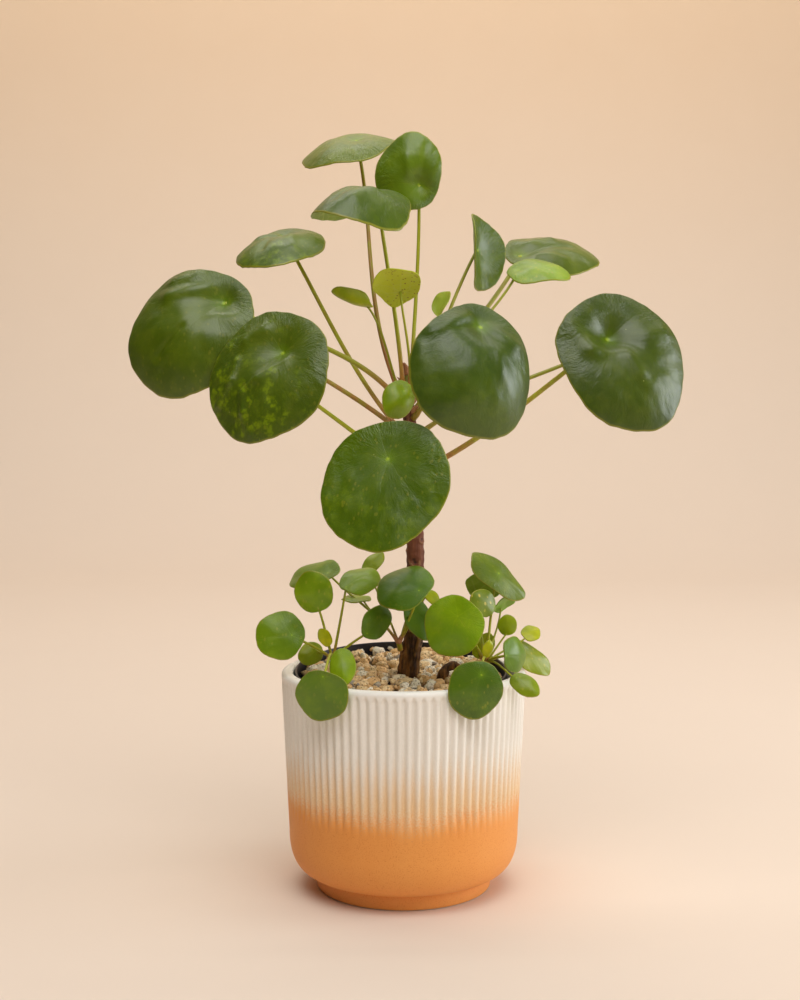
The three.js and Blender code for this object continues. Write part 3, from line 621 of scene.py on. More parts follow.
def potting_mix():
    """Dark crumbs with brown fibres."""
    f = Finish("potting_mix")
    place = f.place()
    crumbs = f.cells(place, 420)
    fibres = f.noise(f.scaled(place, (1, 3, 1)), 300, 3)
    colour = f.mix(f.ease(fibres, 0.45, 0.7), screen(34, 24, 18), screen(84, 60, 40))
    return f.done(Base_Color=colour, Roughness=0.95, Normal=f.bump(crumbs, 1.2))


def pebble_stone():
    """Dry porous stones, tan or cream and a few grey, pitted and stained. They are painted
    darker the lower they lie, down to near black-brown, which is painted shade in the gaps
    between them. Each carries one random number that picks its kind, one that picks its
    tone, and every point's height in the bed, which sets that painted shade."""
    f = Finish("pebble_stone")
    place = f.place()
    pick, shade, height = f.split(f.carried("stone"))[:3]
    patches = f.noise(place, 420, 4, 0.65)
    grain = f.noise(place, 1500, 3, 0.7)
    pits = f.ease(f.cells(place, 620), 0.42, 0.12)
    tan = f.mix(shade, screen(236, 188, 128), screen(248, 218, 168))
    colour = f.mix(f.ease(pick, 0.68, 0.74), tan, screen(252, 240, 216))
    colour = f.mix(f.ease(pick, 0.965, 0.975), colour, screen(160, 150, 136))
    colour = f.mix(f.ease(patches, 0.48, 0.66, 0.0, 0.4), colour, screen(190, 140, 86))
    colour = f.mix(f.times(pits, 0.35), colour, screen(104, 66, 34))
    colour = f.mix(f.ease(grain, 0.60, 0.74, 0.0, 0.4), colour, screen(118, 82, 48))
    # painted shade: the lower a point lies in the bed, the nearer it is painted to dark brown
    colour = f.mix(f.ease(height, 0.0, 1.0), screen(44, 28, 16), colour)
    knobs = f.less(f.plus(patches, f.times(grain, 0.3)), pits)
    return f.done(Base_Color=colour, Roughness=0.9, Normal=f.bump(knobs, 1.1))


def trunk_bark():
    """Reddish brown streaked skin above, greening towards the tip, and dark flaking
    bark below, with pale ridges and dark eyes where leaves have fallen."""
    f = Finish("trunk_bark")
    place = f.place()
    height = f.split(place)[2]
    scar, flake, _ = f.split(f.carried("bark"))[:3]
    streaks = f.noise(f.scaled(place, (1, 1, 0.16)), 420, 4, 0.6)
    mottle = f.noise(place, 160, 3)
    young = f.mix(streaks, screen(80, 37, 24), screen(140, 82, 54))
    young = f.mix(f.ease(mottle, 0.55, 0.7, 0.0, 0.5), young, screen(106, 47, 34))
    old = f.mix(f.ease(streaks, 0.35, 0.7), screen(54, 30, 12), screen(134, 88, 40))
    old = f.mix(f.ease(flake, 0.35, 0.9, 0.0, 0.75), old, screen(164, 118, 58))
    aged = f.plus(height, f.times(mottle, 24 * MM))
    colour = f.mix(f.band(aged, BARK["dark_to_reddish"]), old, young)
    colour = f.mix(f.ease(scar, 0.25, 0.9, 0.0, 0.8), colour, screen(166, 122, 84))
    colour = f.mix(f.ease(scar, -0.2, -0.8, 0.0, 0.8), colour, screen(38, 20, 16))
    green = f.band(height, BARK["reddish_to_green"])
    colour = f.mix(green, colour, screen(140, 140, 60))
    rough = f.bump(f.plus(streaks, f.times(mottle, 0.5)), 0.7)
    return f.done(Base_Color=colour, Roughness=0.72, Normal=rough)


def leaf_skin():
    """Waxy leaf. Each point carries its place on the blade from the navel, in shares of
    the leaf's half length, which side it is on, its share of the way to the edge, and
    the leaf's own phase, size, tint and marks. The upper side is the tint, clouded, with
    seven faint veins and a fainter net between them, ragged yellow blotches, most of
    them towards the tip, pale specks, spots, a soft glow round a pale navel, and a thin
    yellowed edge. The underside is paler, with rusty dots. Pleats that run out from the
    navel and a fine grain make the surface uneven, most of all on large leaves."""
    f = Finish("leaf_skin")
    place = f.place()
    along, across, side = f.split(f.carried("blade"))[:3]
    tint = f.carried("tint")
    phase, share, large = f.split(f.carried("looks"))[:3]
    blotch, spots, _ = f.split(f.carried("marks"))[:3]
    top = f.ease(side, 0.3, 0.7)

    radius = f.add("VectorMath", {0: f.join(along, across, 0.0)}, "Value", operation="LENGTH")
    angle = f.math("ARCTAN2", across, along)
    swing = f.math("SINE", f.math("MULTIPLY_ADD", angle, 2.0, phase))
    angle = f.plus(angle, f.times(swing, VEIN_SWING))
    angle = f.plus(angle, f.sway(f.noise(place, 60, 2), 0.5))
    spokes = f.math("ABSOLUTE", f.math("SINE", f.times(angle, VEINS / 2)))
    vein = f.ease(f.times(f.times(spokes, radius), 0.29), 0.020, 0.003)
    net = f.ease(f.cells(place, 105, "DISTANCE_TO_EDGE"), 0.07, 0.0)
    wide = f.noise(place, 34, 2)
    middle = f.noise(place, 120, 3, 0.55)
    fine = f.noise(place, 700, 3, 0.6)
    circle = [f.times(f.math(wave, angle), 5.0) for wave in ("COSINE", "SINE")]
    pleats = f.noise(f.join(*circle, f.times(radius, 2.4)), 2.6, 4, 0.6)

    dark = f.mix(1.0, tint, (0.5, 0.6, 0.4, 1), "MULTIPLY")
    light = f.mix(1.0, tint, (1.6, 1.35, 1.1, 1), "MULTIPLY")
    colour = f.mix(f.ease(wide, 0.3, 0.7, 0.0, 0.6), tint, dark)
    colour = f.mix(f.ease(middle, 0.42, 0.8, 0.0, 0.4), colour, light)
    colour = f.mix(f.times(net, 0.1), colour, dark)
    colour = f.mix(f.times(f.times(vein, f.ease(radius, 1.0, 0.15)), 0.14), colour, light)

    ragged = f.scaled(f.noise(place, 380, 3, result=1), (0.009, 0.009, 0.009))
    star = f.ease(f.cells(f.moved(place, ragged), 170), 0.66, 0.10)
    crowd = f.plus(f.noise(place, 80, 1), f.times(f.ease(along, 0.1, 0.9), 0.3))
    patch = f.times(f.times(star, f.ease(crowd, 0.56, 0.86)), blotch)
    colour = f.mix(f.times(patch, 0.75), colour, screen(128, 150, 4))
    speck = f.ease(f.cells(place, 190), 0.075, 0.04)
    speck = f.times(speck, f.ease(f.noise(place, 55, 1), 0.58, 0.64))
    colour = f.mix(f.times(speck, 0.5), colour, screen(196, 204, 120))
    spot = f.ease(f.cells(f.scaled(place, (1, 1, 0.6)), 330), 0.30, 0.18)
    spot = f.times(f.times(spot, spots), f.ease(f.noise(place, 140, 1), 0.42, 0.55))
    colour = f.mix(f.times(spot, 0.8), colour, screen(206, 186, 70))

    glow = f.ease(f.plus(radius, f.sway(pleats, 0.14)), 0.20, 0.0)
    colour = f.mix(f.times(glow, 0.25), colour, screen(130, 170, 8))
    navel = f.ease(f.plus(radius, f.sway(pleats, 0.04)), 0.045, 0.005)
    colour = f.mix(f.times(navel, 0.7), colour, screen(170, 196, 30))
    brink = f.math("MULTIPLY_ADD", large, 0.036, 0.943)
    rim = f.ease(share, brink, f.plus(brink, 0.02))
    colour = f.mix(f.times(rim, 0.55), colour, screen(160, 152, 44))

    pale = f.mix(0.4, tint, screen(160, 184, 62))
    pale = f.mix(f.times(f.plus(vein, f.times(net, 0.5)), 0.25), pale, screen(190, 198, 110))
    dots = f.times(f.ease(f.cells(place, 420), 0.26, 0.16), f.ease(wide, 0.35, 0.6))
    pale = f.mix(f.times(f.times(dots, spots), 0.8), pale, screen(110, 64, 20))
    colour = f.mix(top, pale, colour)

    rough = f.ease(f.plus(share, f.times(wide, 0.6)), 0.65, 1.15)
    rough = f.times(rough, f.ease(along, 0.8, -0.1, 0.15, 1.0))
    rough = f.times(f.plus(rough, 0.16), f.ease(large, 0.0, 0.8))
    height = f.times(f.plus(f.times(pleats, 0.9), f.times(middle, 0.7)), rough)
    height = f.plus(height, f.times(fine, 0.05))
    height = f.less(height, f.times(vein, 0.035))
    gloss = f.plus(f.ease(middle, 0.3, 0.8, 0.34, 0.44), f.ease(side, 0.3, 0.7, 0.2, 0.0))
    f.put(f.shader.inputs["Subsurface Radius"], (0.5, 1.0, 0.05))
    return f.done(
        Base_Color=colour, Roughness=gloss, Normal=f.bump(height, 1.3, 0.7),
        Subsurface_Weight=0.12, Subsurface_Scale=0.8 * MM,
        Specular_IOR_Level=0.42, Coat_Weight=0.15, Coat_Roughness=0.3,
    )


def stalk_skin():
    """Smooth olive stalks, browner towards the root and on some stalks throughout.
    Each carries a pick, a number from 0 to 1 that comes from its place. Where that is
    high, as on all the plantlets' stalks, the root is pinkish."""
    f = Finish("stalk_skin")
    place = f.place()
    share, brown, pick = f.split(f.carried("stem"))[:3]
    streaks = f.noise(f.scaled(place, (1, 1, 0.25)), 260, 3)
    olive = f.mix(pick, screen(142, 140, 24), screen(172, 176, 40))
    olive = f.mix(f.ease(share, 0.75, 1.0, 0.0, 0.5), olive, screen(160, 176, 40))
    tan = f.mix(streaks, screen(136, 86, 34), screen(176, 122, 66))
    streaked = f.times(brown, f.ease(streaks, 0.3, 0.7, 0.35, 0.9))
    amount = f.plus(streaked, f.ease(share, 0.35, 0.0, 0.0, 0.35))
    colour = f.mix(f.ease(amount, 0.0, 1.0), olive, tan)
    root = f.times(f.ease(share, 0.30, 0.02, 0.0, 0.75), f.ease(pick, 0.4, 0.5))
    colour = f.mix(root, colour, screen(190, 122, 74))
    return f.done(
        Base_Color=colour, Roughness=0.42, Normal=f.bump(streaks, 0.15, 0.5),
        Subsurface_Weight=0.1, Subsurface_Scale=0.8 * MM,
    )


def papery_scale():
    """Dry pinkish brown scales that wrap the growing tips."""
    f = Finish("papery_scale")
    place = f.place()
    streaks = f.noise(f.scaled(place, (1, 1, 0.3)), 500, 3)
    colour = f.mix(streaks, screen(168, 104, 70), screen(214, 164, 128))
    return f.done(Base_Color=colour, Roughness=0.6, Normal=f.bump(streaks, 0.2, 0.5))


# ------------------------------------------------------------------------ pots


def pot_profile():
    """The cover pot's section, (radius, height), from the middle of its underside out,
    up the belly and the wall, over the lip and down inside to the middle of the floor.
    The belly is a superellipse."""
    p = POT
    foot, rise, lip = p["foot_radius"], p["foot_height"], p["lip_radius"]
    small, crest, edge = p["foot_round"], p["height"], p["lip_round"]
    waist = (p["waist_radius"], p["waist_height"])
    under = [(0, 0), (12, 0), (30, 0), (foot - 8, 0)]
    under += arc((foot - small, small), (small, small), -90, 0, 6)
    turn = np.radians(np.linspace(84, 0, 30))
    power = p["belly_fullness"]
    belly = np.stack([
        foot + p["belly_reach"] * np.cos(turn) ** power,
        rise + p["belly_depth"] * (1 - np.sin(turn) ** power),
    ], -1)
    joint = [(foot, 6.0), (foot, rise - 1.6), (foot + 0.25, rise - 0.7), (foot + 0.9, rise - 0.1)]
    shoulder = (lip - p["lip_stand"], crest - edge - 1.4)
    wall = refine([waist, (shoulder[0], p["flute_top"] - 5)], 3.6)[1:]
    wall_top = refine([wall[-1], shoulder], 0.9)[1:]
    inner = p["lip_inner"] + edge
    over = [
        *arc((lip - edge, crest - edge), (edge, edge), 0, 90, 9),
        *arc((inner, crest - edge), (edge, edge), 90, 180, 9),
    ]
    inside = refine([(p["lip_inner"], crest - edge - 2), *p["hollow"]], 12)
    floor = [(30, p["floor"]), (12, p["floor"]), (0, p["floor"])]
    return np.array([*under, *joint, *belly, *wall, *wall_top, *over, *inside, *floor])


def make_pot():
    """The profile turned, less the flutes. A groove's depth follows a raised cosine, to
    the power 1.4, round the pot, and fades at both ends, first at the groove's sides, so
    that it ends round. The points carry that depth, as a share, to the glaze."""
    columns = POT["flutes"] * POT["flute_points"]
    profile = pot_profile()
    grid = lathe(profile, columns)
    outer = np.arange(len(profile)) < np.argmax(profile[:, 1])
    height = profile[:, 1:]
    phase = TURN * np.arange(columns) / POT["flute_points"]
    hollow = (0.5 + 0.5 * np.cos(phase)) ** 1.4
    sides = 1 - hollow
    low, high = POT["flute_end"] + 3 * sides, 1.8 * sides - POT["flute_top"]
    fade = ease(height, low, low + 18) * ease(-height, high, high + 2.6)
    depth = hollow * fade * outer[:, None]
    radius = np.maximum(profile[:, :1], 1e-6)
    grid[..., :2] *= ((radius - POT["flute_depth"] * depth) / radius)[..., None]
    groove = np.stack([depth, depth, depth], -1)
    make_piece("cover_pot", [closed_surface(grid, groove=groove)], pot_glaze(), "pot_glaze", "pot")


def lean(points):
    """Points on the nursery pot's own axis, z = 0 at its rim, put where it leans."""
    c, s = math.cos(LINER["tilt"]), math.sin(LINER["tilt"])
    x, y, z = points[..., 0], points[..., 1], points[..., 2]
    aside, back = LINER["shift"]
    return np.stack([x + aside, y * c - z * s + back, y * s + z * c + LINER["rim_height"]], -1)


def liner_height():
    """From the nursery pot's lowest edge, which stands on the floor, to its rim."""
    drop = LINER["rim_height"] - POT["floor"] - GAP - LINER["bottom_radius"] * math.sin(LINER["tilt"])
    return drop / math.cos(LINER["tilt"])


def liner_inner(z):
    """The nursery pot's inner radius at a height under its rim."""
    taper = (LINER["rim_radius"] - LINER["bottom_radius"]) / liner_height()
    return LINER["rim_radius"] - LINER["wall"] + z * taper


def make_liner():
    """A thin tapered wall with a rolled rim and a step under it, turned and leaned."""
    rim, wall, bottom = LINER["rim_radius"], LINER["wall"], -liner_height()
    foot, floor = LINER["bottom_radius"], bottom + wall
    profile = refine([
        (0, bottom), (20, bottom), (foot - 1, bottom), (foot, bottom + 1),
        (rim - 0.9, -5.4), (rim - 0.7, -4.6), (rim, -4.1),
        *arc((rim - wall / 2, -0.65), (wall / 2, 0.65), 0, 180, 9), (rim - wall, -4),
        (liner_inner(-20), -20), (liner_inner(floor), floor), (20, floor), (0, floor),
    ], 14)
    skin = closed_surface(lean(lathe(profile, 128)))
    make_piece("nursery_pot_wall", [skin], black_plastic(), "black_plastic", "nursery_pot")


# ---------------------------------------------------------------------- gravel


def stone_shapes(rng, count):
    """Knobbly stones of size one: a ball's radius along each direction is the smooth
    least of the distances to nine random planes, which cut flats off the ball, and
    noise then swells and sinks it. The least is smooth because it is the sum of the
    fifth powers of one over each distance, to the power of minus a fifth."""
    flats, power = 9, 5
    tilt = np.pi * np.arange(1, 6) / 6
    turn = TURN * np.arange(8) / 8
    ring = np.stack([
        np.outer(np.sin(tilt), np.cos(turn)),
        np.outer(np.sin(tilt), np.sin(turn)),
        np.outer(np.cos(tilt), 0 * turn + 1),
    ], -1)[::-1]
    ball = np.concatenate([[[0, 0, -1]], ring.reshape(-1, 3), [[0, 0, 1]]])
    planes = unit(rng.normal(size=(count, flats, 3)))
    reach = rng.uniform(0.78, 1.05, (count, flats))
    facing = np.maximum(np.einsum("vk,npk->nvp", ball, planes), 1e-3) / reach[:, None, :]
    radius = np.minimum(np.sum(facing**power, axis=-1) ** (-1 / power), 1.1)
    lumps = noise(ball + rng.uniform(0, 30, (count, 1, 3)), 0.8)
    return ball * (radius * (1 + 0.26 * lumps))[..., None]


def stone_faces():
    """The faces of one stone: five rings of eight points between two poles."""
    shape = closed_surface(np.zeros((7, 8, 3)))
    return shape["quads"], shape["tris"]


def random_turns(rng, count):
    """Rotation matrices from random unit quaternions."""
    w, x, y, z = unit(rng.normal(size=(count, 4))).T
    return np.stack([
        np.stack([1 - 2 * (y * y + z * z), 2 * (x * y - z * w), 2 * (x * z + y * w)], -1),
        np.stack([2 * (x * y + z * w), 1 - 2 * (x * x + z * z), 2 * (y * z - x * w)], -1),
        np.stack([2 * (x * z - y * w), 2 * (y * z + x * w), 1 - 2 * (x * x + y * y)], -1),
    ], -2)


def stone_places(rng, sizes, height, wander):
    """Centres on a sunflower spiral over the leaning bed, each moved a little, and
    pushed out of the trunk and the plantlets' stubs."""
    count = len(sizes)
    rank = np.arange(count)
    reach = liner_inner(height) - 1.0
    radius = np.minimum(reach - sizes, reach * np.sqrt((rank + 0.5) / count))
    angle = rank * GOLDEN + rng.uniform(0, 0.35, count)
    flat = np.stack([radius * np.cos(angle), radius * np.sin(angle)], -1)
    flat = flat + rng.uniform(-wander, wander, (count, 2))
    stems = [(TRUNK[1][0], 0.0, TRUNK[1][2])]
    stems += [(*plant["foot"][:2], plant["stub"]) for plant in (PLANTLETS[0], PLANTLETS[2])]
    for x, y, girth in stems:
        away = flat - (np.array([x, y]) - LINER["shift"])
        distance = np.linalg.norm(away, axis=-1, keepdims=True)
        room = girth + 0.62 * sizes[:, None]
        flat = flat + away / distance * np.maximum(room - distance, 0)
    distance = np.linalg.norm(flat, axis=-1, keepdims=True)
    flat = flat * np.minimum(1, (reach - sizes[:, None]) / distance)
    return np.concatenate([flat, height + rng.uniform(-0.8, 0.8, (count, 1))], -1)


def make_gravel():
    """Layers of stones, the smallest on top, on an uneven bed painted dark, as painted
    shade between the stones. Each stone is stretched and turned at random, and its top is
    cut off where the gravel ends."""
    rng = np.random.default_rng(7)
    quads, tris = stone_faces()
    surfaces = []
    for count, least, most, height in STONE_LAYERS:
        sizes = rng.uniform(least, most, count)
        stretch = rng.uniform(*STONE_STRETCH, (count, 3))
        shapes = stone_shapes(rng, count) * sizes[:, None, None] * stretch[:, None]
        centres = stone_places(rng, sizes, height, 1.2)
        points = np.einsum("nij,nvj->nvi", random_turns(rng, count), shapes) + centres[:, None]
        points[..., 2] = np.minimum(points[..., 2], STONES_END)
        each = points.shape[1]
        own = np.repeat(rng.random((count, 1, 2)), each, axis=1)
        # painted shade: 0 low in the bed, 1 near the gravel's top, which darkens the stones' colour
        painted_shade_lift = ease(points[..., 2:], SOIL_TOP + 3.2, GRAVEL_TOP + 0.8)
        start = each * np.arange(count)[:, None, None]
        surfaces.append({
            "points": lean(points).reshape(-1, 3),
            "quads": (quads[None] + start).reshape(-1, 4),
            "tris": (tris[None] + start).reshape(-1, 3),
            "maps": {"stone": np.concatenate([own, painted_shade_lift], -1).reshape(-1, 3)},
        })
    edge, low = liner_inner(SOIL_TOP) - 0.6, SOIL_TOP + GAP
    bed = lathe(refine([(0, low), (edge, low), (edge, BED_TOP), (0, BED_TOP)], 2.0), 96)
    bed[..., 2] += ease(bed[..., 2], -9, -8) * 1.1 * noise(bed, 3.0)
    # the bed carries zeros, so it is painted in the darkest painted shade
    surfaces.append(closed_surface(lean(bed), stone=np.zeros(bed.shape)))
    make_piece("gravel_stones", surfaces, pebble_stone(), "gravel", "gravel")


# ----------------------------------------------------------------------- trunk


def trunk_at(z):
    """Centre x and radius of the trunk at a height or an array of heights."""
    x, height, radius = np.array(TRUNK, float).T
    return np.interp(z, height, x), np.interp(z, height, radius)


def make_trunk():
    """A tube round the trunk's line. Its radius carries leaf scars, each a crescent
    ridge round a sunken eye, upright cracks and slow knots, and towards the foot coarse
    flakes and burls. It fades to a smooth point at the tip."""
    foot, tip = TRUNK[0][1], TRUNK[-1][1]
    z = np.concatenate([[foot], np.linspace(foot, tip, 340), [tip + 1.5]])
    columns = 72
    angle = TURN * np.arange(columns) / columns
    centre, radius = trunk_at(z)
    smooth = np.convolve(np.pad(radius, 12, "edge"), np.ones(25) / 25, "valid")
    around = np.stack([np.cos(angle), np.sin(angle)], -1)
    girth, level = smooth[:, None], z[:, None]
    flat = np.stack([girth * around[:, 0], girth * around[:, 1], level + 0 * angle], -1)
    cracks = noise(flat * [1, 1, 0.12], 1.3) + 0.5 * noise(flat * [1, 1, 0.2] + 50, 0.7)
    flakes = noise(flat * [1, 1, 0.45] + 20, 3.4)
    flakes = np.maximum(flakes, 0) + 0.5 * np.abs(noise(flat * [1, 1, 0.4] + 90, 1.8))
    old_top, young_foot = BARK["coarse_to_smooth"]
    old = ease(-level, -young_foot, -old_top)
    scar = np.zeros_like(cracks)
    for height, facing, size in SCARS:
        sideways = np.angle(np.exp(1j * (angle - facing)))[None] * girth
        upward = level - height
        away = np.sqrt((sideways / (1.25 * size)) ** 2 + (upward / size) ** 2)
        ridge = np.exp(-(((away - 1) / 0.28) ** 2)) * (0.55 - 0.45 * np.tanh(upward / size))
        scar += ridge - 0.9 * np.exp(-((away / 0.55) ** 2))
    knots = 0.05 * girth * np.sin(level * 0.83) * np.sin(2 * angle + level * 0.31)
    burls = noise(flat * [1, 1, 0.5] + 130, 6.5) + 0.6 * noise(flat * [1, 1, 0.6] + 170, 3.1)
    bumps = knots
    for kind, shape in (("cracks", cracks), ("flakes", flakes), ("burls", burls), ("scars", scar)):
        on_smooth, on_coarse = UNEVEN[kind]
        bumps = bumps + shape * (on_smooth + (on_coarse - on_smooth) * old)
    full = girth - 0.3 + bumps * ease(-level, -tip, 10 - tip)
    full[0] = full[-1] = 0
    grid = np.stack([full * around[:, 0] + centre[:, None], full * around[:, 1], level + 0 * full], -1)
    bark = np.stack([scar, flakes * old, 0 * scar], -1)
    make_piece("trunk_bark", [closed_surface(grid, bark=bark)], trunk_bark(), "bark", "trunk")


def make_root_stub():
    """A rough dark root that arches out of the gravel beside the trunk: a tube along a
    smoothed line, whose radius wavers by two sines."""
    line = np.array(ROOT_STUB, float)
    step = np.linspace(0, len(line) - 1, 40)
    path = np.stack([np.interp(step, np.arange(len(line)), line[:, k]) for k in range(3)], -1)
    path[1:-1] = (path[:-2] + path[1:-1] + path[2:]) / 3
    radii = ROOT_RADIUS * (1 + 0.12 * np.sin(1.7 * step) + 0.08 * np.sin(5.3 * step))
    stub = tube_surface(path, radii, 16)
    stub["maps"] = {"bark": 0 * stub["points"]}
    make_piece("root_stub", [stub], trunk_bark(), "bark")


# ---------------------------------------------------------------------- leaves


def whole_leaf(row):
    """A leaf's row with the plain values filled in, and a phase, taken from its place,
    that makes its waves and wrinkles its own."""
    return {**PLAIN_LEAF, **row, "phase": row["navel"][0] + row["navel"][2]}


def leaf_axes(leaf):
    """The leaf's own axes: along to the tip, across, and up out of the upper side."""
    up = heading(*leaf["face"])
    downhill = unit(np.array([0, 0, -1.0]) + up * up[2])
    turn = math.radians(leaf["turn"])
    along = downhill * math.cos(turn) + np.cross(up, downhill) * math.sin(turn)
    return along, np.cross(up, along), up


def relief(leaf, u, v, ripple):
    """The blade's height over its plane: a dome that falls with the square of the way to
    the edge, less a dimple that fades from the navel, squares of the way across and
    along, for a fold and a curl, plus a ripple that grows to the edge. Each of the
    leaf's own folds is a ridge that fades with the square of the distance from its
    line."""
    cap, dimple, fold, curl = leaf["relief"]
    length, width = leaf["size"]
    p = (u - length * (0.5 - leaf["behind"])) / (length / 2)
    q = (v - width * (0.5 - leaf["beside"])) / (width / 2)
    edge = p * p + q * q
    from_navel = np.sqrt(u * u + v * v + 0.6) / (0.18 * width)
    pit = (dimple + leaf["sink"]) * np.exp(-(from_navel**1.3))
    wave = length * ripple * edge * np.sin(4 * np.arctan2(q, p) + leaf["phase"])
    height = cap * (1 - edge) - pit - fold * q * q - curl * p * p + wave
    for u0, v0, u1, v1, wide, high in leaf["folds"]:
        run = np.array([u1 - u0, v1 - v0])
        share = np.clip(((u - u0) * run[0] + (v - v0) * run[1]) / (run @ run), 0, 1)
        away = np.hypot(u - u0 - share * run[0], v - v0 - share * run[1])
        height = height + high * np.exp(-((away / wide) ** 2))
    return height


def blade_surface(leaf, rings, columns, ripple, thickness):
    """A round blade, from the navel on its underside out, round the edge and back to
    the navel on top. Rings shrink from the outline, an ellipse waved by sines, to the
    navel. Pleats that run out from the navel, creases along the main veins and small
    puckers are added to the relief, in proportion to the leaf."""
    along, across, up = leaf_axes(leaf)
    length, width = leaf["size"]
    ahead, phase = length * (0.5 - leaf["behind"]), leaf["phase"]
    aside = width * (0.5 - leaf["beside"])
    inset = thickness / length
    shares = (np.arange(rings) / (rings - 1)) ** 0.85 * (1 - inset)
    bow = np.radians([-54, -18, 18, 54])
    share = np.concatenate([shares, 1 - inset + inset * np.cos(bow), shares[::-1]])[:, None]
    lower, edge = 0 * shares + thickness, thickness * (0.5 - 0.5 * np.sin(bow))
    depth = np.concatenate([lower, edge, 0 * shares])[:, None]
    side = 1 - depth / thickness

    angle = TURN * np.arange(columns) / columns
    nick = 0.0035 * np.sin(17 * angle + 3 * phase)
    nick = nick + 0.003 * np.sin(29 * angle + phase) * np.sin(2 * angle)
    wave = 1 + 0.02 * np.sin(5 * angle + phase) + nick
    narrow = 1 - leaf["narrow"] * np.cos(angle)
    u = share * (ahead + length / 2 * wave * np.cos(angle))
    v = share * (aside + width / 2 * wave * narrow * np.sin(angle))
    height = relief(leaf, u, v, ripple) - relief(leaf, 0, 0, ripple) - leaf["sink"]

    radius = np.hypot(u, v) / (length / 2)
    spoke = np.arctan2(v, u)
    spoke = spoke + VEIN_SWING * np.sin(2 * spoke + phase)
    crease = np.exp(-((np.sin(VEINS * spoke / 2) * radius * 4) ** 2))
    crease = crease * ease(radius, 0.02, 0.25) * ease(-radius, -1.1, -0.5)
    polar = np.stack([np.cos(spoke) * 5 + phase, np.sin(spoke) * 5, radius * 2.2], -1)
    pleat = noise(polar, 0.9) * 0.6 + noise(polar * [1, 1, 1.6] + 9, 0.45) * 0.4
    flat = np.stack([u + phase, v, 0 * u], -1)
    pucker = noise(flat, 9.0) + 0.5 * noise(flat + 40, 4.5)
    wrinkle = 0.4 * pleat * ease(radius, 0.3, 1.0) + 0.3 * pucker * ease(radius, 0.1, 0.7)
    size = length / 80
    height = height + size * wrinkle - size * 0.12 * crease - depth
    grid = np.array(leaf["navel"], float) + u[..., None] * along + v[..., None] * across
    grid = grid + height[..., None] * up

    shape = u.shape
    whole = np.ones(shape)
    tint = np.broadcast_to(np.array(screen(*leaf["tint"])[:3]), (*shape, 3))
    marks = np.broadcast_to(np.array(leaf["marks"], float), (*shape, 3))
    blade = np.stack([2 * u / length, 2 * v / length, side * whole], -1)
    looks = np.stack([phase * whole, share * whole, min(1, size) * whole], -1)
    return closed_surface(grid, blade=blade, tint=tint, looks=looks, marks=marks)


def tube_surface(path, radii, columns, brown=0.0, pick=0.0):
    """A round tube along a path. Its frame is carried along: each ring's first
    direction is the last one's, less what points along the path. The points carry their
    share of the way, how brown the tube is, and its pick."""
    ahead = unit(np.gradient(path, axis=0))
    first = np.cross(ahead[0], [0.31, 0.87, 0.12])
    normals = []
    for direction in ahead:
        first = first - direction * (first @ direction)
        first = first / np.linalg.norm(first)
        normals.append(first)
    normals = np.array(normals)
    sideways = np.cross(ahead, normals)
    angle = TURN * np.arange(columns) / columns
    around = normals[:, None] * np.cos(angle)[:, None] + sideways[:, None] * np.sin(angle)[:, None]
    grid = path[:, None] + around * radii[:, None, None]
    foot, tip = (np.repeat(path[[end], None], columns, 1) for end in (0, -1))
    grid = np.concatenate([foot, grid, tip])
    share = np.concatenate([[0], np.linspace(0, 1, len(path)), [1]])[:, None] + 0 * angle
    stem = np.stack([share, brown + 0 * share, pick + 0 * share], -1)
    return closed_surface(grid, stem=stem)


def stalk_end(leaf, depth):
    """Where a stalk ends: under the leaf's sunken navel, at a depth in the blade."""
    return np.array(leaf["navel"], float) - leaf_axes(leaf)[2] * (depth + leaf["sink"])


def stalk_path(leaf, start, end, set_out, count):
    """A cubic curve from its two ends and two handles. The first handle points where the
    stalk sets out, 0.35 of the distance long. The second, 0.3 long, points mostly
    straight on, and leans to the blade's upright."""
    reach = np.linalg.norm(end - start)
    straight = unit(end - start)
    landing = unit(straight + (leaf_axes(leaf)[2] - straight) * leaf["lean"])
    leave = start + set_out * 0.35 * reach
    arrive = end - landing * 0.3 * reach
    t = np.linspace(0, 1, count)[:, None]
    s = 1 - t
    return s**3 * start + 3 * s * s * t * leave + 3 * s * t * t * arrive + t**3 * end


def crown_stalk(leaf):
    """A curve from inside the trunk to the blade's underside, thinning on the way, with
    a swollen root and a flared neck under the navel."""
    height, azimuth = leaf["root"]
    centre, radius = trunk_at(height)
    clear = radius + GAP + leaf["stalk"] * math.sin(math.radians(leaf["rise"]))
    start = np.array([centre, 0, height]) + heading(azimuth, 0) * clear
    path = stalk_path(leaf, start, stalk_end(leaf, 0.55), heading(azimuth, leaf["rise"]), 44)
    path[0] = start - heading(azimuth, leaf["rise"] * 0.5) * (1.2 + GAP)
    share = np.linspace(0, 1, len(path))
    swell = 1 + 0.28 * np.exp(-((share / 0.05) ** 2)) + 0.35 * np.exp(-(((1 - share) / 0.02) ** 2))
    radii = leaf["stalk"] * (1 - 0.28 * share) * swell
    return tube_surface(path, radii, 16, leaf["marks"][2], (leaf["phase"] * 0.37) % 1)


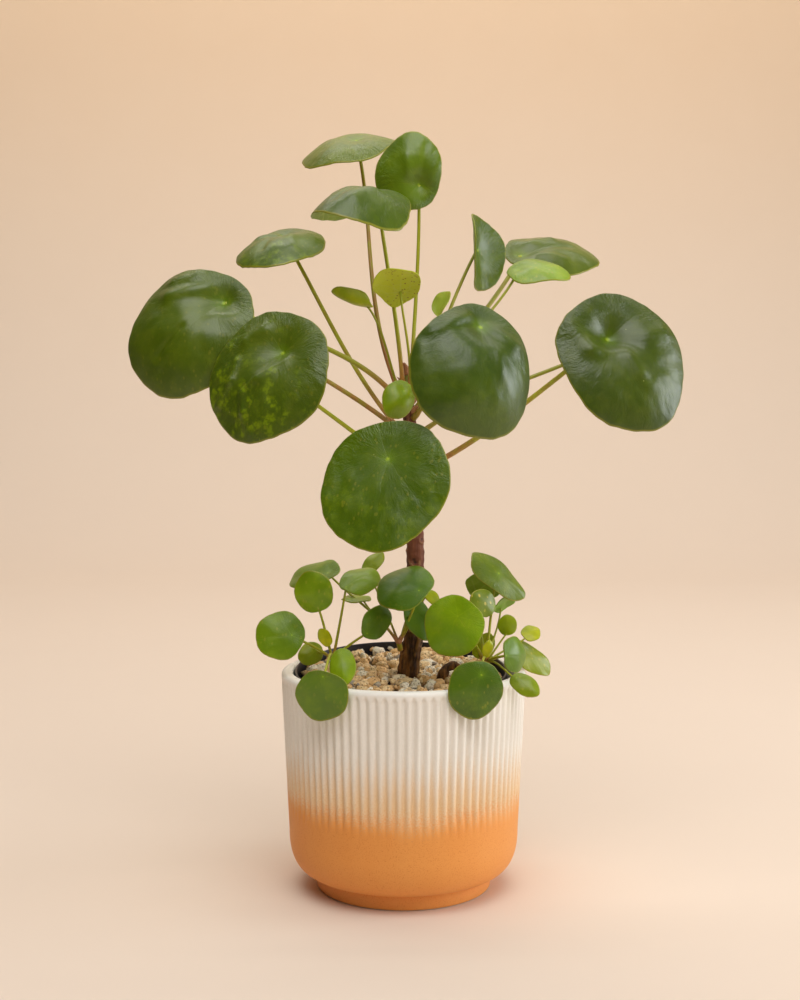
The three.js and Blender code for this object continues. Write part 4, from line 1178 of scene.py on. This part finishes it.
def plantlet_stalk(leaf, start):
    """A thin curve from the plantlet's heart, setting out half upwards, to the blade."""
    end = stalk_end(leaf, 0.45)
    set_out = (end - start) * [0.55, 0.55, 0]
    set_out[2] = 0.5 * np.linalg.norm(end - start)
    path = stalk_path(leaf, start, end, unit(set_out), 26)
    share = np.linspace(0, 1, len(path))
    thick = 0.95 if leaf["size"][0] > TINY else 0.75
    radii = thick * (1 - 0.3 * share) * (1 + 0.35 * np.exp(-((share / 0.06) ** 2)))
    return tube_surface(path, radii, 10, 0.0, 0.5 + 0.5 * ((leaf["navel"][0] * 0.37) % 1))


def scale_surface(base, direction, length, width, curl):
    """A small pointed papery scale: a thin lens whose width follows a sine along it,
    curled in across and back along, each by a square."""
    ahead = unit(direction)
    sideways = unit(np.cross(ahead, [0.1, 0.2, 1.0]))
    out = np.cross(sideways, ahead)
    rows, columns = 14, 12
    share = np.linspace(0, 1, rows)[:, None]
    angle = TURN * np.arange(columns) / columns
    half = width / 2 * np.sin(np.pi * np.clip(share * 0.9 + 0.1, 0, 1)) ** 0.8
    half[0] = half[-1] = 0
    across = half * np.cos(angle)
    bow = 0.18 * half * np.sin(angle) + curl * (across / width) ** 2 * 4 - curl * share**2
    grid = np.array(base, float) + (share * length + 0 * angle)[..., None] * ahead
    grid = grid + across[..., None] * sideways + bow[..., None] * out
    return closed_surface(grid)


def random_scale(rng, base, azimuth, kind):
    """A papery scale of a kind. Its elevation, length and width are drawn in turn."""
    direction = heading(azimuth, rng.uniform(*kind["rise"]))
    length, width = rng.uniform(*kind["length"]), rng.uniform(*kind["width"])
    return scale_surface(base, direction, length, width, kind["curl"])


def make_crown(skin, stem):
    """Every crown leaf as two pieces, its blade and its stalk."""
    for row in CROWN:
        leaf, name = whole_leaf(row), row["name"]
        young = leaf["size"][0] < YOUNG
        slot = "young_leaf" if young else "leaf"
        blade = blade_surface(leaf, *(YOUNG_BLADE if young else GROWN_BLADE))
        make_piece(name + "_blade", [blade], skin, slot, name)
        make_piece(name + "_stalk", [crown_stalk(leaf)], stem, slot, name)


def make_plantlets(skin, stem):
    """Every plantlet as two pieces, its blades, and its stalks with their stub, a tube
    that thins towards the plantlet's heart."""
    names = ("navel", "face", "turn", "size", "behind", "relief", "tint", "marks")
    girth = np.concatenate([np.linspace(1, 0.85, 10), [0.7, 0.4]])
    for plant in PLANTLETS:
        foot, crown = np.array(plant["foot"], float), np.array(plant["crown"], float)
        heart = crown + unit(foot - crown) * 1.4
        stub = foot + (crown - foot) * np.linspace(0, 1, len(girth))[:, None]
        stalks = [tube_surface(stub, plant["stub"] * girth, 14, 0.7, 0.4)]
        blades = []
        for *shape, cap, tint, spots in plant["leaves"]:
            looks = ((cap, 0, 0, 0), tint, (0.25, spots, 0.0))
            leaf = whole_leaf(dict(zip(names, (*shape, *looks))))
            tiny = leaf["size"][0] <= TINY
            blades.append(blade_surface(leaf, *(TINY_BLADE if tiny else PLANTLET_BLADE)))
            stalks.append(plantlet_stalk(leaf, heart))
        make_piece(plant["name"] + "_blades", blades, skin, "young_leaf", plant["name"])
        make_piece(plant["name"] + "_stalks", stalks, stem, "young_leaf", plant["name"])


def make_scales():
    """Papery scales, up a spiral round the growing tip and round each plantlet's heart."""
    rng = np.random.default_rng(3)
    surfaces = []
    for k in range(TIP_SCALES["count"]):
        height, azimuth = 289 + 2.5 * k, 40 + SPIRAL * k
        centre, radius = trunk_at(height)
        base = np.array([centre, 0, height]) + heading(azimuth, 0) * radius * 0.8
        surfaces.append(random_scale(rng, base, azimuth + rng.uniform(-20, 20), TIP_SCALES))
    for plant in PLANTLETS:
        for k in range(HEART_SCALES["count"]):
            azimuth = 25 + SPIRAL * k
            base = np.array(plant["crown"], float) + heading(azimuth, -30) * 1.3
            surfaces.append(random_scale(rng, base, azimuth, HEART_SCALES))
    make_piece("growing_tip_scales", surfaces, papery_scale(), "bark")


# ------------------------------------------------------------------- the studio


def make_camera():
    """The camera where the photograph was taken from, level but for its pitch."""
    camera = bpy.data.cameras.new("eye")
    camera.lens = EYE_LENS
    camera.sensor_width = 36
    camera.clip_start = 0.05
    holder = bpy.data.objects.new("eye", camera)
    holder.location = [value * MM for value in EYE]
    holder.rotation_euler = (math.radians(90 - EYE_PITCH), 0, 0)
    bpy.context.scene.collection.objects.link(holder)
    bpy.context.scene.camera = holder


def paper():
    """Smooth peach paper with a faint mottle, painted deeper and a little darker higher up, a painted
    shading for the light that falls off up the wall.
    """
    f = Finish("paper")
    place = f.place()
    cloud = f.noise(place, 9, 4, 0.6)
    height = f.split(place)[2]
    # painted shading: the paper is painted deeper and darker the higher it stands
    colour = f.mix(f.ease(height, 0.0, 1.6), screen(225, 208, 192), screen(226, 197, 165))
    colour = f.mix(f.times(cloud, 0.10), colour, screen(240, 226, 210))
    return f.done(Base_Color=colour, Roughness=0.9)


def make_backdrop():
    """One sweep of paper: level under the plant, a wide curve, then upright behind it."""
    floor_front, bend, radius, top, half = -3.0, 1.5, 1.1, 4.2, 4.5
    turn = np.linspace(0, math.pi / 2, 24)
    curve = zip(bend + radius * np.sin(turn), radius - radius * np.cos(turn))
    line = [(floor_front, 0.0), (-1.0, 0.0), (0.5, 0.0), *curve, (bend + radius, top)]
    points = [(x, y, z) for y, z in line for x in (-half, half)]
    faces = [(2 * k, 2 * k + 1, 2 * k + 3, 2 * k + 2) for k in range(len(line) - 1)]
    mesh = bpy.data.meshes.new("backdrop")
    mesh.from_pydata(points, [], faces)
    mesh.shade_smooth()
    mesh.materials.append(paper())
    sweep = bpy.data.objects.new("backdrop", mesh)
    bpy.context.scene.collection.objects.link(sweep)


def make_light(name, place, aim, size, power, colour, gloss):
    """An oval lamp that looks at its aim. Without gloss it lights the surfaces but isn't
    mirrored in them."""
    light = bpy.data.lights.new(name, "AREA")
    light.shape = "ELLIPSE"
    light.size, light.size_y = size
    light.energy = power
    light.color = colour
    holder = bpy.data.objects.new(name, light)
    holder.visible_glossy = gloss
    holder.location = place
    east, north, rise = unit(np.array(aim, float) - np.array(place, float))
    pitch = math.atan2(rise, math.hypot(east, north))
    holder.rotation_euler = (math.pi / 2 + pitch, 0, math.atan2(-east, north))
    bpy.context.scene.collection.objects.link(holder)


def make_studio():
    """The backdrop, the lamps and the even light, shown without a film-like curve."""
    make_backdrop()
    for lamp in LAMPS:
        make_light(*lamp)
    world = bpy.data.worlds.new("studio")
    bpy.context.scene.world = world
    world.use_nodes = True
    even = world.node_tree.nodes["Background"].inputs
    even["Color"].default_value = screen(240, 226, 212)
    even["Strength"].default_value = EVEN_LIGHT
    bpy.context.scene.view_settings.view_transform = "Standard"


def dress_soil():
    """The potting mix keeps its own mesh and gets its look."""
    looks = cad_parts["soil"].data.materials
    looks.clear()
    looks.append(potting_mix())


make_camera()
make_pot()
make_liner()
dress_soil()
make_gravel()
make_trunk()
make_root_stub()
leaf_looks = (leaf_skin(), stalk_skin())
make_crown(*leaf_looks)
make_plantlets(*leaf_looks)
make_scales()
make_studio()
